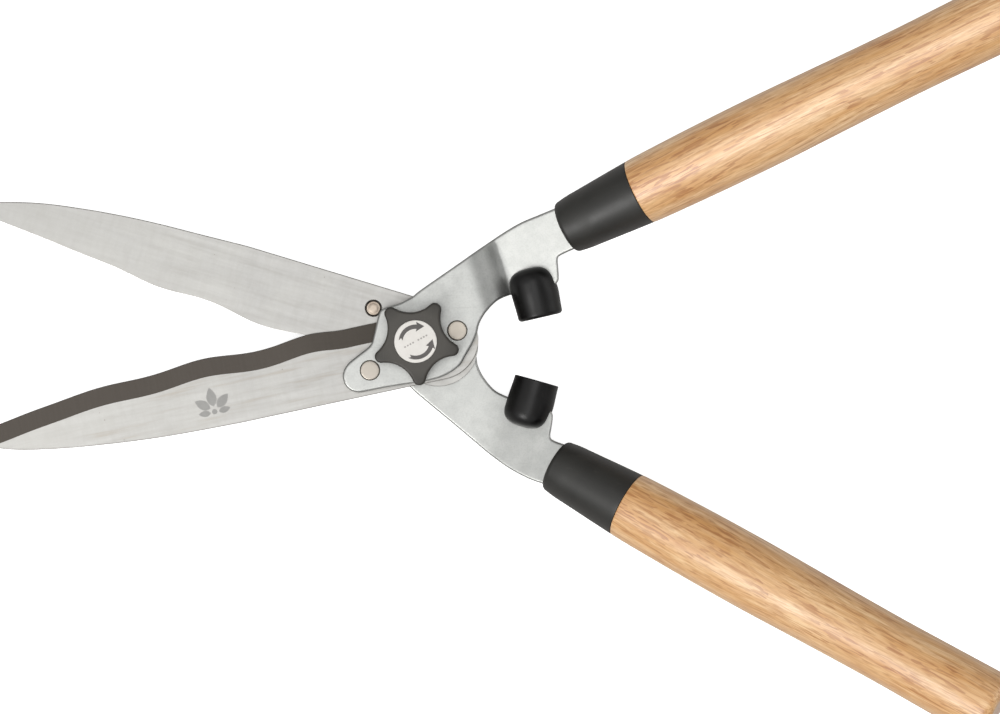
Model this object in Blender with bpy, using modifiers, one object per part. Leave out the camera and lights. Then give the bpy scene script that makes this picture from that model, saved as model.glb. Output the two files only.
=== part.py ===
"""Hand hedge shears with wavy blades: two pressed arms on one pivot bolt, a star
tension knob, rubber stop buffers, moulded ferrules and turned wooden handles.

Metres, +Z up. The origin is on the pivot axis, at the outer face of the bolt
head. The blades lie flat, with their tips towards -X, and the handles rise
from the blade plane towards +X. The shears stand open, as at rest.

The rear half lies next to the bolt head. The front half lies above it, next to
the knob, with its handle towards +Y. All sizes are in mm until a mesh is made.
"""

import math
from types import SimpleNamespace

import bmesh
import bpy
from mathutils import Matrix, Vector

MM = 0.001
OBJECT_NAME = "hedge_shears"

# Stack of pieces along the pivot axis
GAP = 0.3
ARM_T = 4.5
BLADE_T = 2.5
HEAD_T = 4.5
SPRING_H = 1.6
WASHER_T = 1.2
KNOB_H = 10.6
REAR_ARM_Z = HEAD_T + GAP
REAR_BLADE_Z = REAR_ARM_Z + ARM_T + GAP
FRONT_BLADE_Z = REAR_BLADE_Z + BLADE_T + GAP
FRONT_ARM_Z = FRONT_BLADE_Z + BLADE_T + GAP
SHEAR_Z = FRONT_BLADE_Z - GAP / 2
ARM_TOP = FRONT_ARM_Z + ARM_T
SPRING_Z = ARM_TOP + GAP
WASHER_Z = SPRING_Z + SPRING_H + GAP
KNOB_Z = WASHER_Z + WASHER_T + GAP
KNOB_TOP = KNOB_Z + KNOB_H
OVERRUN = 2.0  # how far a cutter reaches past the surface it opens

# The rear arm's plan mirrors the front arm's in this line through the pivot
MIRROR_DEG = -2.4

# Bends across an arm: (distance from the pivot, slope there)
ARM_SLOPE = 0.2705
CRANK = ((35.0, 0.0), (46.0, -0.75), (50.3, -0.75), (54.5, ARM_SLOPE))
LIFT = ((36.0, 0.0), (58.5, ARM_SLOPE))
BEND_DEG = 18.0

# What differs between the halves. Blade tables hold (distance along the blade,
# value): its back, the mean line of its cutting edge, and the height of the waves.
FRONT = SimpleNamespace(
    name="front",
    side=1,  # towards +Z from the shear plane
    blade_deg=192.07,
    shear_face_z=FRONT_BLADE_Z,
    back=((95, -21.3), (125, -20.5), (145, -19.35), (165, -17.5), (185, -15.05),
          (205, -11.5), (215, -8.6), (224, -5.4), (230, -3.0), (234, -0.9)),
    base=((22, 13.6), (60, 13.5), (79, 13.35), (108, 12.8), (137, 11.9), (165, 9.9),
          (190, 7.1), (212, 3.5), (226, 1.6), (234, 0.6)),
    wave=((30, 0.0), (50, 1.3), (79, 1.2), (108, 1.15), (137, 0.8), (165, 0.45),
          (200, 0.0)),
    wave_crest=108.0,
    arm_z=FRONT_ARM_Z,
    bends=CRANK,
    bend_deg=BEND_DEG,
    handle_start=(74.7, 56.7),  # centre of the ferrule's nose
    handle_deg=25.70,
    bumper_face=(62.3, 12.1),  # centre of the buffer's flat face
    bumper_deg=-77.0,
    bumper_l=25.4,
    bumper_round=1.8,
    rivets=(("outer", (-23.05, -14.25)), ("inner", (20.45, 5.55))),
)
REAR = SimpleNamespace(
    name="rear",
    side=-1,
    blade_deg=163.15,
    shear_face_z=REAR_BLADE_Z + BLADE_T,
    back=((95, -21.3), (119, -20.15), (140, -19.2), (160, -17.65), (180, -15.25),
          (200, -11.9), (219, -6.9), (228, -3.7), (234, -0.9)),
    base=((22, 14.3), (48, 14.3), (77, 13.3), (106, 11.8), (135, 10.1),
          (165, 7.3), (195, 4.4), (217, 2.6), (228, 1.4), (234, 0.6)),
    wave=((30, 0.0), (50, 1.3), (77, 1.3), (105, 1.2), (135, 0.9), (165, 0.2),
          (180, 0.0)),
    wave_crest=77.5,
    arm_z=REAR_ARM_Z,
    bends=LIFT,
    bend_deg=2 * MIRROR_DEG - BEND_DEG,
    handle_start=(69.3, -61.4),
    handle_deg=-28.80,
    bumper_face=(60.27, -19.35),
    bumper_deg=74.2,
    bumper_l=24.4,
    bumper_round=0.5,
    rivets=(("outer", (-21.6, 16.8)), ("inner", (19.9, -7.2))),
)


# ---------------------------------------------------------------- scene and materials

def new_collection(name, hidden=False):
    made = bpy.data.collections.new(name)
    made.hide_render = hidden
    bpy.context.scene.collection.children.link(made)
    return made


def material(name, colour, roughness, metallic=0.0):
    made = bpy.data.materials.new(name)
    made.use_nodes = True
    shader = made.node_tree.nodes["Principled BSDF"]
    shader.inputs["Base Color"].default_value = (*colour, 1.0)
    shader.inputs["Roughness"].default_value = roughness
    shader.inputs["Metallic"].default_value = metallic
    return made


for old in list(bpy.data.objects):
    bpy.data.objects.remove(old, do_unlink=True)
PARTS = new_collection(OBJECT_NAME)
CUTTERS = new_collection(OBJECT_NAME + "_cutters", hidden=True)

GROUND_STEEL = material("ground_steel", colour=(0.62, 0.61, 0.58), roughness=0.32, metallic=1.0)
ZINC_STEEL = material("zinc_plated_steel", colour=(0.58, 0.59, 0.58), roughness=0.42,
                      metallic=1.0)
RIVET_STEEL = material("rivet_steel", colour=(0.66, 0.60, 0.53), roughness=0.30, metallic=1.0)
SPRING_STEEL = material("spring_steel", colour=(0.40, 0.40, 0.42), roughness=0.35, metallic=1.0)
BRASS = material("insert_brass", colour=(0.66, 0.50, 0.24), roughness=0.35, metallic=1.0)
RUBBER = material("black_rubber", colour=(0.008, 0.008, 0.007), roughness=0.55)
BLACK_PLASTIC = material("black_plastic", colour=(0.035, 0.034, 0.030), roughness=0.42)
KNOB_PLASTIC = material("grey_plastic", colour=(0.10, 0.10, 0.09), roughness=0.45)
LABEL_WHITE = material("label_film", colour=(0.85, 0.83, 0.79), roughness=0.40)
ASH_WOOD = material("varnished_ash", colour=(0.62, 0.40, 0.20), roughness=0.30)


# ---------------------------------------------------------------- objects

def add_object(name, mesh, mat=None):
    """A piece in its material, or a hidden cutter when no material is given."""
    obj = bpy.data.objects.new(name, mesh)
    if mat:
        PARTS.objects.link(obj)
        mesh.materials.append(mat)
    else:
        CUTTERS.objects.link(obj)
        obj.hide_render = True
        obj.display_type = "WIRE"
    return obj


def mesh_from(bm, name):
    mesh = bpy.data.meshes.new(name)
    bm.to_mesh(mesh)
    bm.free()
    return mesh


def evaluated_mesh(obj, name):
    """The object's finished mesh, with its seams welded; the object is removed."""
    bpy.context.view_layer.update()
    graph = bpy.context.evaluated_depsgraph_get()
    mesh = bpy.data.meshes.new_from_object(obj.evaluated_get(graph))
    mesh.name = name
    bpy.data.objects.remove(obj, do_unlink=True)
    bm = bmesh.new()
    bm.from_mesh(mesh)
    bmesh.ops.remove_doubles(bm, verts=bm.verts, dist=0.000001)
    bm.to_mesh(mesh)
    bm.free()
    mesh.materials.clear()
    return mesh


def boolean(obj, cutter, operation="DIFFERENCE"):
    modifier = obj.modifiers.new(operation.lower() + "_" + cutter.name, "BOOLEAN")
    modifier.operation = operation
    modifier.solver = "EXACT"
    modifier.object = cutter


def axis_empty(name, height):
    """An empty on the pivot axis."""
    made = bpy.data.objects.new(name, None)
    made.empty_display_size = 0.02
    made.location = (0, 0, height * MM)
    PARTS.objects.link(made)
    return made


def held_by(obj, parent):
    """Parents the object and keeps its place in the world."""
    world = obj.matrix_world.copy()
    obj.parent = parent
    obj.matrix_parent_inverse = parent.matrix_world.inverted()
    obj.matrix_world = world


# ---------------------------------------------------------------- curves in the plane

def polar(radius, degrees):
    return Vector((radius * math.cos(math.radians(degrees)),
                   radius * math.sin(math.radians(degrees))))


def left_of(direction):
    """The direction turned a quarter anticlockwise."""
    return Vector((-direction.y, direction.x))


def mirrored(point):
    """A point of the front arm's plan, mirrored into the rear arm's."""
    turn = math.radians(2 * MIRROR_DEG)
    return Vector((point[0] * math.cos(turn) + point[1] * math.sin(turn),
                   point[0] * math.sin(turn) - point[1] * math.cos(turn)))


def flowing(points, steps=3):
    """An open Catmull-Rom curve through the points, with steps per span."""
    pts = [Vector(p) for p in points]
    pts = [2 * pts[0] - pts[1]] + pts + [2 * pts[-1] - pts[-2]]
    made = []
    for before, start, end, after in zip(pts, pts[1:], pts[2:], pts[3:]):
        for k in range(steps):
            t = k / steps
            made.append(0.5 * (2 * start + (end - before) * t
                               + (2 * before - 5 * start + 4 * end - after) * t * t
                               + (3 * start - before - 3 * end + after) * t ** 3))
    made.append(pts[-2])
    return made


def value_at(table, x):
    """Smooth value of a (x, value) table, held level beyond its ends."""
    if x <= table[0][0]:
        return table[0][1]
    if x >= table[-1][0]:
        return table[-1][1]

    def slope(i):
        low, high = table[max(i - 1, 0)], table[min(i + 1, len(table) - 1)]
        return (high[1] - low[1]) / (high[0] - low[0])

    upper = next(i for i, entry in enumerate(table) if x <= entry[0])
    (x0, y0), (x1, y1) = table[upper - 1], table[upper]
    span = x1 - x0
    t = (x - x0) / span
    return ((2 * t ** 3 - 3 * t ** 2 + 1) * y0
            + (t ** 3 - 2 * t ** 2 + t) * span * slope(upper - 1)
            + (3 * t ** 2 - 2 * t ** 3) * y1
            + (t ** 3 - t ** 2) * span * slope(upper))


def grown(outline, distance):
    """A closed anticlockwise outline moved outwards."""
    made = []
    for i, point in enumerate(outline):
        arriving = (point - outline[i - 1]).normalized()
        leaving = (outline[(i + 1) % len(outline)] - point).normalized()
        normal_in, normal_out = -left_of(arriving), -left_of(leaving)
        normal = (normal_in + normal_out).normalized()
        # The floor keeps sharp corners from running far out.
        made.append(point + normal * (distance / max(normal.dot(normal_in), 0.5)))
    return made


def anticlockwise(outline):
    area = sum(p.x * q.y - p.y * q.x for p, q in zip(outline, outline[1:] + outline[:1]))
    return outline if area > 0 else outline[::-1]


# ---------------------------------------------------------------- plain solids

def plate_mesh(name, outline, z_low, thickness):
    """A flat plate: a filled 2D curve with half its thickness as extrusion."""
    curve = bpy.data.curves.new(name + "_outline", "CURVE")
    curve.dimensions = "2D"
    curve.fill_mode = "BOTH"
    curve.extrude = thickness / 2 * MM
    spline = curve.splines.new("POLY")
    spline.points.add(len(outline) - 1)
    for point, place in zip(spline.points, outline):
        point.co = (place.x * MM, place.y * MM, 0.0, 1.0)
    spline.use_cyclic_u = True
    guide = bpy.data.objects.new(name + "_guide", curve)
    CUTTERS.objects.link(guide)
    mesh = evaluated_mesh(guide, name)
    bpy.data.curves.remove(curve)
    mesh.transform(Matrix.Translation((0, 0, (z_low + thickness / 2) * MM)))
    return mesh


def turned(name, profile, mat=None, steps=28, closed=False, matrix=None):
    """Turns a profile of (radius, height), listed from top to bottom down its outer side."""
    mesh = bpy.data.meshes.new(name)
    points = [(radius * MM, 0.0, height * MM) for radius, height in profile]
    edges = [(i, i + 1) for i in range(len(points) - 1)]
    if closed:
        edges.append((len(points) - 1, 0))
    mesh.from_pydata(points, edges, [])
    obj = add_object(name, mesh, mat)
    screw = obj.modifiers.new("turn", "SCREW")
    screw.axis = "Z"
    screw.angle = math.tau
    screw.steps = screw.render_steps = steps
    screw.use_merge_vertices = True
    screw.merge_threshold = 0.00001
    screw.use_smooth_shade = True
    if matrix is not None:
        obj.matrix_world = matrix
    return obj


def round_cutter(name, radius, low, high, steps=28):
    return turned(name, [(0, high), (radius, high), (radius, low), (0, low)], steps=steps)


def square_cutter(name, width, low, high):
    bm = bmesh.new()
    bmesh.ops.create_cube(bm, size=1.0)
    bm.transform(Matrix.Translation((0, 0, (low + high) / 2 * MM))
                 @ Matrix.Diagonal((width * MM, width * MM, (high - low) * MM, 1)))
    return add_object(name, mesh_from(bm, name))


def place_on(origin, direction):
    """A matrix that puts local +Z along the direction, at the origin in mm."""
    turn = Vector(direction).normalized().to_track_quat("Z", "Y").to_matrix().to_4x4()
    return Matrix.Translation(Vector(origin) * MM) @ turn


# ---------------------------------------------------------------- blades

# Distances run along the blade from the pivot; offsets run towards its cutting edge.
HEEL_R = 20.2
HEEL_ALONG = -10.8
HEEL_OFFSET = -1.1
HEEL_FIRST_DEG = 8
HEEL_STEPS = 6
BACK_OFFSET = HEEL_OFFSET - HEEL_R
CHOIL_ALONG = 3.05  # where the heel's round meets the cutting edge
CHOIL_STEPS = 4
BLADE_STATIONS = (*range(6, 220, 5), 222.0, 226.0, 229.5, 232.0, 233.4, 234.0)
WAVE_PITCH = 57.5
EDGE_T = 0.4
BEVEL_W = 9.3
HEEL_BEVEL_W = 1.5
BEVEL_SHARE = 0.86  # largest part of the blade's width that the bevel takes
GRIND_START = 2.0
GRIND_RUN = 14.0


def blade_stations(half):
    """(distance, offset of the back, offset of the cutting edge) from heel to tip."""

    def heel_half(along):
        return math.sqrt(max(HEEL_R ** 2 - (along - HEEL_ALONG) ** 2, 0.0))

    stations = []
    for k in range(HEEL_STEPS + 1):
        angle = HEEL_FIRST_DEG + (90 - HEEL_FIRST_DEG) * k / HEEL_STEPS
        along = HEEL_ALONG - HEEL_R * math.cos(math.radians(angle))
        stations.append((along, HEEL_OFFSET - heel_half(along), HEEL_OFFSET + heel_half(along)))
    for k in range(1, CHOIL_STEPS + 1):
        along = HEEL_ALONG + (CHOIL_ALONG - HEEL_ALONG) * k / CHOIL_STEPS
        stations.append((along, BACK_OFFSET, HEEL_OFFSET + heel_half(along)))
    for along in BLADE_STATIONS:
        phase = math.tau * (along - half.wave_crest) / WAVE_PITCH
        ripple = value_at(half.wave, along) * math.cos(phase)
        stations.append((along, value_at(half.back, along), value_at(half.base, along) + ripple))
    return stations


def blade(half):
    """A loft of five-sided sections: near full thickness at the heel, bevelled further out."""
    along_axis = polar(1.0, half.blade_deg)
    # The cutting edge of each blade faces the other blade.
    offset_axis = -half.side * left_of(along_axis)
    bm = bmesh.new()
    rings = []
    for along, back, cut in blade_stations(half):
        ground = min(max((along - GRIND_START) / GRIND_RUN, 0.0), 1.0)
        ground = ground * ground * (3 - 2 * ground)
        bevel = min(HEEL_BEVEL_W + (BEVEL_W - HEEL_BEVEL_W) * ground, BEVEL_SHARE * (cut - back))
        edge = BLADE_T + (EDGE_T - BLADE_T) * ground
        section = ((back, 0.0), (back, BLADE_T), (cut - bevel, BLADE_T), (cut, edge), (cut, 0.0))
        ring = []
        for offset, depth in section:
            place = along_axis * along + offset_axis * offset
            height = half.shear_face_z + half.side * depth
            ring.append(bm.verts.new((place.x * MM, place.y * MM, height * MM)))
        rings.append(ring)
    for ring, following in zip(rings, rings[1:]):
        for i in range(5):
            j = (i + 1) % 5
            bm.faces.new((ring[i], ring[j], following[j], following[i]))
    bm.faces.new(rings[0][::-1])
    bm.faces.new(rings[-1])
    bmesh.ops.recalc_face_normals(bm, faces=bm.faces)
    name = half.name + "_blade"
    return add_object(name, mesh_from(bm, name), GROUND_STEEL)


# ---------------------------------------------------------------- arms

# Plan (x, y) of the front arm: the outer edge from the ferrule back to the pivot and
# round the rivet lobe, then the inner edge out to the stop lug
ARM_OUTLINE = (
    (61.8, 63.55), (51.8, 59.4), (41.8, 53.55), (31.8, 46.6), (21.8, 39.5),
    (11.8, 32.55), (1.8, 25.55), (-2.2, 22.35), (-8.7, 19.05), (-15.7, 16.85),
    (-18.2, 14.85), (-19.7, 9.85), (-21.2, 3.35), (-22.95, -1.8), (-28.9, -6.7),
    (-34.55, -11.6), (-36.65, -16.5), (-35.6, -21.4), (-32.8, -24.25), (-28.9, -25.3),
    (-24.0, -24.6), (-14.9, -22.8), (-1.55, -20.7), (7.5, -19.1), (12.45, -17.65),
    (17.45, -15.15), (22.0, -11.45), (24.5, -7.3), (28.2, -0.65), (30.3, 4.3),
    (31.65, 9.4), (35.0, 15.0), (40.6, 20.6), (46.75, 23.35), (52.6, 24.4),
)
# From the stop lug on to the shoulder
ARM_EAR = ((67.6, 26.6), (70.7, 30.05), (71.15, 32.6), (70.9, 37.05), (70.7, 41.55),
           (72.6, 43.45))
LUG_HALF_W = 4.6
LUG_END = 7.0  # left between the lug and the buffer's face
LUG_ROOT = 12.2
LUG_CORNER = 1.2
SHOULDER_W = 22.4
SHOULDER_BEFORE = 1.1  # the shoulder stands this far before the ferrule's nose
FERRULE_L = 42.0
TANG_L = 80.0
TANG_POINT_L = 4.0
TANG_W = (12.6, 9.6, 5.2, 1.6)  # at the shoulder, ferrule mouth, point and end
BEND_CUTS = 8


def arm_outline(half):
    """The whole plan outline: arm, stop lug, shoulder and tang."""
    plan = mirrored if half is REAR else Vector
    start = Vector(half.handle_start)
    along = polar(1.0, half.handle_deg)
    across = half.side * left_of(along)
    face = Vector(half.bumper_face)
    lug = polar(1.0, half.bumper_deg)
    lug_side = half.side * left_of(lug)

    def on_handle(distance, offset):
        return start + along * distance + across * offset

    def on_lug(depth, offset):
        return face - lug * depth + lug_side * offset

    def both_sides(place, edge):
        """Down the negative side of a symmetrical tongue and back up the other."""
        return ([place(distance, -offset) for distance, offset in edge]
                + [place(distance, offset) for distance, offset in reversed(edge)])

    shoulder = SHOULDER_W / 2
    outer = flowing([on_handle(-SHOULDER_BEFORE, shoulder)] + [plan(p) for p in ARM_OUTLINE])
    tongue = both_sides(on_lug, ((LUG_ROOT, LUG_HALF_W), (LUG_END + LUG_CORNER, LUG_HALF_W),
                                 (LUG_END, LUG_HALF_W - LUG_CORNER)))
    ear = flowing([plan(p) for p in ARM_EAR] + [on_handle(-SHOULDER_BEFORE, -shoulder)])
    # Lengths on the sloping handle, shortened to plan
    slant = math.cos(math.atan(ARM_SLOPE))
    tang_places = (-SHOULDER_BEFORE, FERRULE_L * slant, (TANG_L - TANG_POINT_L) * slant,
                   TANG_L * slant)
    tang = both_sides(on_handle, [(p, width / 2) for p, width in zip(tang_places, TANG_W)])
    return anticlockwise(outer + tongue + ear + tang)


def height_along(bends, distance):
    """Height gained by a plate whose slope changes linearly between the bends."""
    height = 0.0
    for (start, slope), (end, end_slope) in zip(bends, bends[1:]):
        if distance <= start:
            break
        part = min(distance, end) - start
        reached = slope + (end_slope - slope) * part / (end - start)
        height += part * (slope + reached) / 2
    last, last_slope = bends[-1]
    if distance > last:
        height += (distance - last) * last_slope
    return height


def slope_along(bends, distance):
    if distance <= bends[0][0]:
        return 0.0
    for (start, slope), (end, end_slope) in zip(bends, bends[1:]):
        if distance <= end:
            return slope + (end_slope - slope) * (distance - start) / (end - start)
    return bends[-1][1]


def arm_mesh(name, half, grow=0.0):
    """The flat plate of the arm, cut across at its bends and then bent."""
    outline = arm_outline(half)
    if grow:
        outline = grown(outline, grow)
    z_low = half.arm_z - grow
    thickness = ARM_T + 2 * grow
    mesh = plate_mesh(name, outline, z_low, thickness)
    normal = polar(1.0, half.bend_deg).to_3d()
    bm = bmesh.new()
    bm.from_mesh(mesh)
    first, last = half.bends[0][0], half.bends[-1][0]
    cuts = {first + (last - first) * k / BEND_CUTS for k in range(BEND_CUTS + 1)}
    for distance in sorted(cuts | {bend[0] for bend in half.bends}):
        everything = bm.verts[:] + bm.edges[:] + bm.faces[:]
        bmesh.ops.bisect_plane(bm, geom=everything, dist=1e-7,
                               plane_co=normal * distance * MM, plane_no=normal)
    bmesh.ops.dissolve_degenerate(bm, edges=bm.edges, dist=1e-7)
    middle = (z_low + thickness / 2) * MM
    for vert in bm.verts:
        distance = vert.co.dot(normal) / MM
        # A sloping plate is taller along Z for the same thickness.
        lean = math.cos(math.atan(slope_along(half.bends, distance)))
        vert.co.z = (middle + (vert.co.z - middle) / lean
                     + height_along(half.bends, distance) * MM)
    bmesh.ops.triangulate(bm, faces=bm.faces)
    bmesh.ops.recalc_face_normals(bm, faces=bm.faces)
    bm.to_mesh(mesh)
    bm.free()
    return mesh


def arm(half):
    name = half.name + "_arm"
    return add_object(name, arm_mesh(name, half), ZINC_STEEL)


def arm_room(half):
    """Cutter for the pieces that fit over the arm."""
    name = half.name + "_arm_room"
    return add_object(name, arm_mesh(name, half, GAP))


# ---------------------------------------------------------------- rivets

RIVET_HEAD_R = 4.95
RIVET_R = 3.0
RIVET_FLARE_R = 4.2
RIVET_TOP = ARM_TOP - 0.05
RIVET_SEAT = ARM_TOP - 2.0
RIVET_FLARE_Z = FRONT_BLADE_Z + 1.3
RIVET_TAIL_Z = FRONT_BLADE_Z + 0.1
ROOM_FLARE_Z = FRONT_BLADE_Z + 1.42
ROOM_LOW = RIVET_TAIL_Z - 0.25

# Profiles for the front half; the rear half's are mirrored in the shear plane
RIVET_PROFILE = [
    (0, RIVET_TOP), (RIVET_HEAD_R - 0.2, RIVET_TOP), (RIVET_HEAD_R, RIVET_TOP - 0.2),
    (RIVET_HEAD_R, RIVET_SEAT), (RIVET_R, RIVET_SEAT), (RIVET_R, RIVET_FLARE_Z),
    (RIVET_FLARE_R, RIVET_TAIL_Z), (0, RIVET_TAIL_Z)]
RIVET_ROOM_PROFILE = [
    (0, ARM_TOP + OVERRUN), (RIVET_HEAD_R + GAP, ARM_TOP + OVERRUN),
    (RIVET_HEAD_R + GAP, RIVET_SEAT - GAP), (RIVET_R + GAP, RIVET_SEAT - GAP),
    (RIVET_R + GAP, ROOM_FLARE_Z), (RIVET_FLARE_R + GAP, RIVET_TAIL_Z),
    (RIVET_FLARE_R + GAP, ROOM_LOW), (0, ROOM_LOW)]


def rivet(half, which, place, arm_piece, blade_piece):
    """Flat head in the arm, shank, and a flared tail at the blade's shear face."""
    profile, room = RIVET_PROFILE, RIVET_ROOM_PROFILE
    if half is REAR:
        profile, room = ([(radius, 2 * SHEAR_Z - z) for radius, z in reversed(points)]
                         for points in (profile, room))
    name = f"{half.name}_{which}_rivet"
    where = Matrix.Translation((place[0] * MM, place[1] * MM, 0))
    made = turned(name, profile, RIVET_STEEL, steps=20, matrix=where)
    cutter = turned(name + "_room", room, steps=20, matrix=where)
    boolean(arm_piece, cutter)
    boolean(blade_piece, cutter)
    return made


# ---------------------------------------------------------------- buffers

BUMPER_Z = 12.0
BUMPER_R = 11.9
BUMPER_FACE_R = 11.3
BUMPER_DOME_H = 8.6
BUMPER_TAPER_END = 12.6
BUMPER_DOME_DEG = (0, 18, 36, 54, 70)


def bumper(half, room):
    """A plug with its domed end over the arm's lug and its flat face to the other buffer."""
    length, rounding = half.bumper_l, half.bumper_round
    dome = [(BUMPER_R * math.cos(math.radians(angle)),
             BUMPER_DOME_H - BUMPER_DOME_H * math.sin(math.radians(angle)))
            for angle in BUMPER_DOME_DEG]
    profile = [(0, length), (BUMPER_FACE_R - rounding, length),
               (BUMPER_FACE_R - 0.3 * rounding, length - 0.3 * rounding),
               (BUMPER_FACE_R, length - rounding), (BUMPER_FACE_R, BUMPER_TAPER_END),
               *dome, (0, 0)]
    direction = polar(1.0, half.bumper_deg).to_3d()
    dome_end = Vector((*half.bumper_face, BUMPER_Z)) - direction * length
    made = turned(half.name + "_bumper", profile, RUBBER, matrix=place_on(dome_end, direction))
    boolean(made, room)
    return made


# ---------------------------------------------------------------- ferrules and handles

FERRULE_NOSE_R = 13.6
FERRULE_MOUTH_R = 16.6
FERRULE_NOSE_L = 10.0  # solid length before the bore
BORE_NOSE_R = FERRULE_NOSE_R - 1.4
BORE_MOUTH_R = FERRULE_MOUTH_R - 2.3
GRIP_LOW = FERRULE_L + GAP
GRIP_END = GRIP_LOW + 208.7
GRIP_END_ROUND = 5.0
GRIP_END_R = 17.1
# (distance from the ferrule's mouth, radius)
GRIP_RADII = ((0, 16.7), (8, 17.0), (20, 17.3), (45, 17.7), (75, 17.75), (100, 17.35),
              (125, 16.95), (150, 16.75), (175, 16.95), (198, 17.2))
GRIP_STATIONS = (198, 187, 175, 162, 150, 137, 125, 112, 100, 87, 75, 60, 45, 32, 20, 8)


def handle_frame(half):
    """The matrix at the centre of the ferrule's nose, local +Z along the handle."""
    start = Vector(half.handle_start)
    normal = polar(1.0, half.bend_deg)
    along = polar(1.0, half.handle_deg)
    height = half.arm_z + ARM_T / 2 + height_along(half.bends, normal.dot(start))
    return place_on((start.x, start.y, height),
                    (along.x, along.y, ARM_SLOPE * normal.dot(along)))


def ferrule(half, room):
    nose, mouth = FERRULE_NOSE_R, FERRULE_MOUTH_R
    profile = [(BORE_MOUTH_R, FERRULE_L), (mouth - 0.3, FERRULE_L), (mouth, FERRULE_L - 0.3),
               (nose + 1.0, 12.0), (nose, 2.2), (nose - 0.7, 0.7), (nose - 2.2, 0.0),
               (0, 0.0), (0, FERRULE_NOSE_L), (BORE_NOSE_R, FERRULE_NOSE_L)]
    made = turned(half.name + "_ferrule", profile, BLACK_PLASTIC, steps=32, closed=True,
                  matrix=handle_frame(half))
    boolean(made, room)
    return made


def handle(half, room):
    """A turned grip with a spigot that fills the ferrule's bore."""
    end = [(0, GRIP_END)]
    for angle in (0, 30, 60, 90):
        end.append((GRIP_END_R - GRIP_END_ROUND * (1 - math.sin(math.radians(angle))),
                    GRIP_END - GRIP_END_ROUND * (1 - math.cos(math.radians(angle)))))
    body = [(value_at(GRIP_RADII, distance), GRIP_LOW + distance) for distance in GRIP_STATIONS]
    spigot = [(16.65, GRIP_LOW + 0.4), (16.25, GRIP_LOW), (BORE_MOUTH_R - GAP, GRIP_LOW),
              (BORE_NOSE_R - GAP, FERRULE_NOSE_L + GAP), (0, FERRULE_NOSE_L + GAP)]
    made = turned(half.name + "_handle", end + body + spigot, ASH_WOOD, steps=32,
                  matrix=handle_frame(half))
    boolean(made, room)
    return made


# ---------------------------------------------------------------- pivot bolt

BOLT_R = 4.0
BOLT_TOP = 30.0
HEAD_R = 12.0
NECK_W = 9.0
NECK_Z = (HEAD_T - 1.0, REAR_ARM_Z + ARM_T)  # starts inside the head
SOCKET_Z = (3.0, 11.0)
PIVOT_HOLE_TOP = 24.0
BOLT_PROFILE = [
    (0.0, BOLT_TOP), (BOLT_R - 0.9, BOLT_TOP), (BOLT_R, BOLT_TOP - 0.9), (BOLT_R, HEAD_T),
    (HEAD_R - 0.6, HEAD_T), (HEAD_R, HEAD_T - 0.6), (HEAD_R, HEAD_T - 1.4),
    (HEAD_R - 0.9, 1.6), (HEAD_R - 2.4, 0.5), (HEAD_R - 4.0, 0.0), (0.0, 0.0)]


def pivot_bolt():
    """A bolt with a square neck that keys into the rear arm."""
    made = turned("pivot_bolt", BOLT_PROFILE, ZINC_STEEL)
    boolean(made, square_cutter("neck_block", NECK_W, *NECK_Z), "UNION")


# ---------------------------------------------------------------- washers

SPRING_R = (4.5, 9.2)
SPRING_T = 0.5
SPRING_SWING = 0.52  # height of the waves either side of the middle
SPRING_WAVES = 3
WASHER_R = (4.4, 10.0)


def wave_spring_washer():
    inner, outer = SPRING_R
    middle = SPRING_Z + SPRING_H / 2
    high, low = middle + SPRING_T / 2, middle - SPRING_T / 2
    ring = turned("spring_blank", [(inner, high), (outer, high), (outer, low), (inner, low)],
                  steps=36, closed=True)
    mesh = evaluated_mesh(ring, "wave_spring_washer")
    for vert in mesh.vertices:
        angle = math.atan2(vert.co.y, vert.co.x)
        vert.co.z += SPRING_SWING * math.cos(SPRING_WAVES * angle) * MM
    return add_object("wave_spring_washer", mesh, SPRING_STEEL)


def thrust_washer():
    inner, outer = WASHER_R
    top = WASHER_Z + WASHER_T
    profile = [(inner, top), (outer - 0.2, top), (outer, top - 0.2), (outer, WASHER_Z),
               (inner, WASHER_Z)]
    return turned("thrust_washer", profile, ZINC_STEEL, closed=True)


# ---------------------------------------------------------------- tension knob

TIP_R = 21.8
TIP_ROUND = 3.2
VALLEY_R = 14.6
LOBES = 5
ARC_STEPS = 6
KNOB_TURN_DEG = -12.5
INSERT_Z = KNOB_Z + GAP
INSERT_TOP = INSERT_Z + 7.3
INSERT_R = 6.5
LABEL_R = 10.6
LABEL_T = 0.5
RECESS_Z = KNOB_TOP - 0.9


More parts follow.
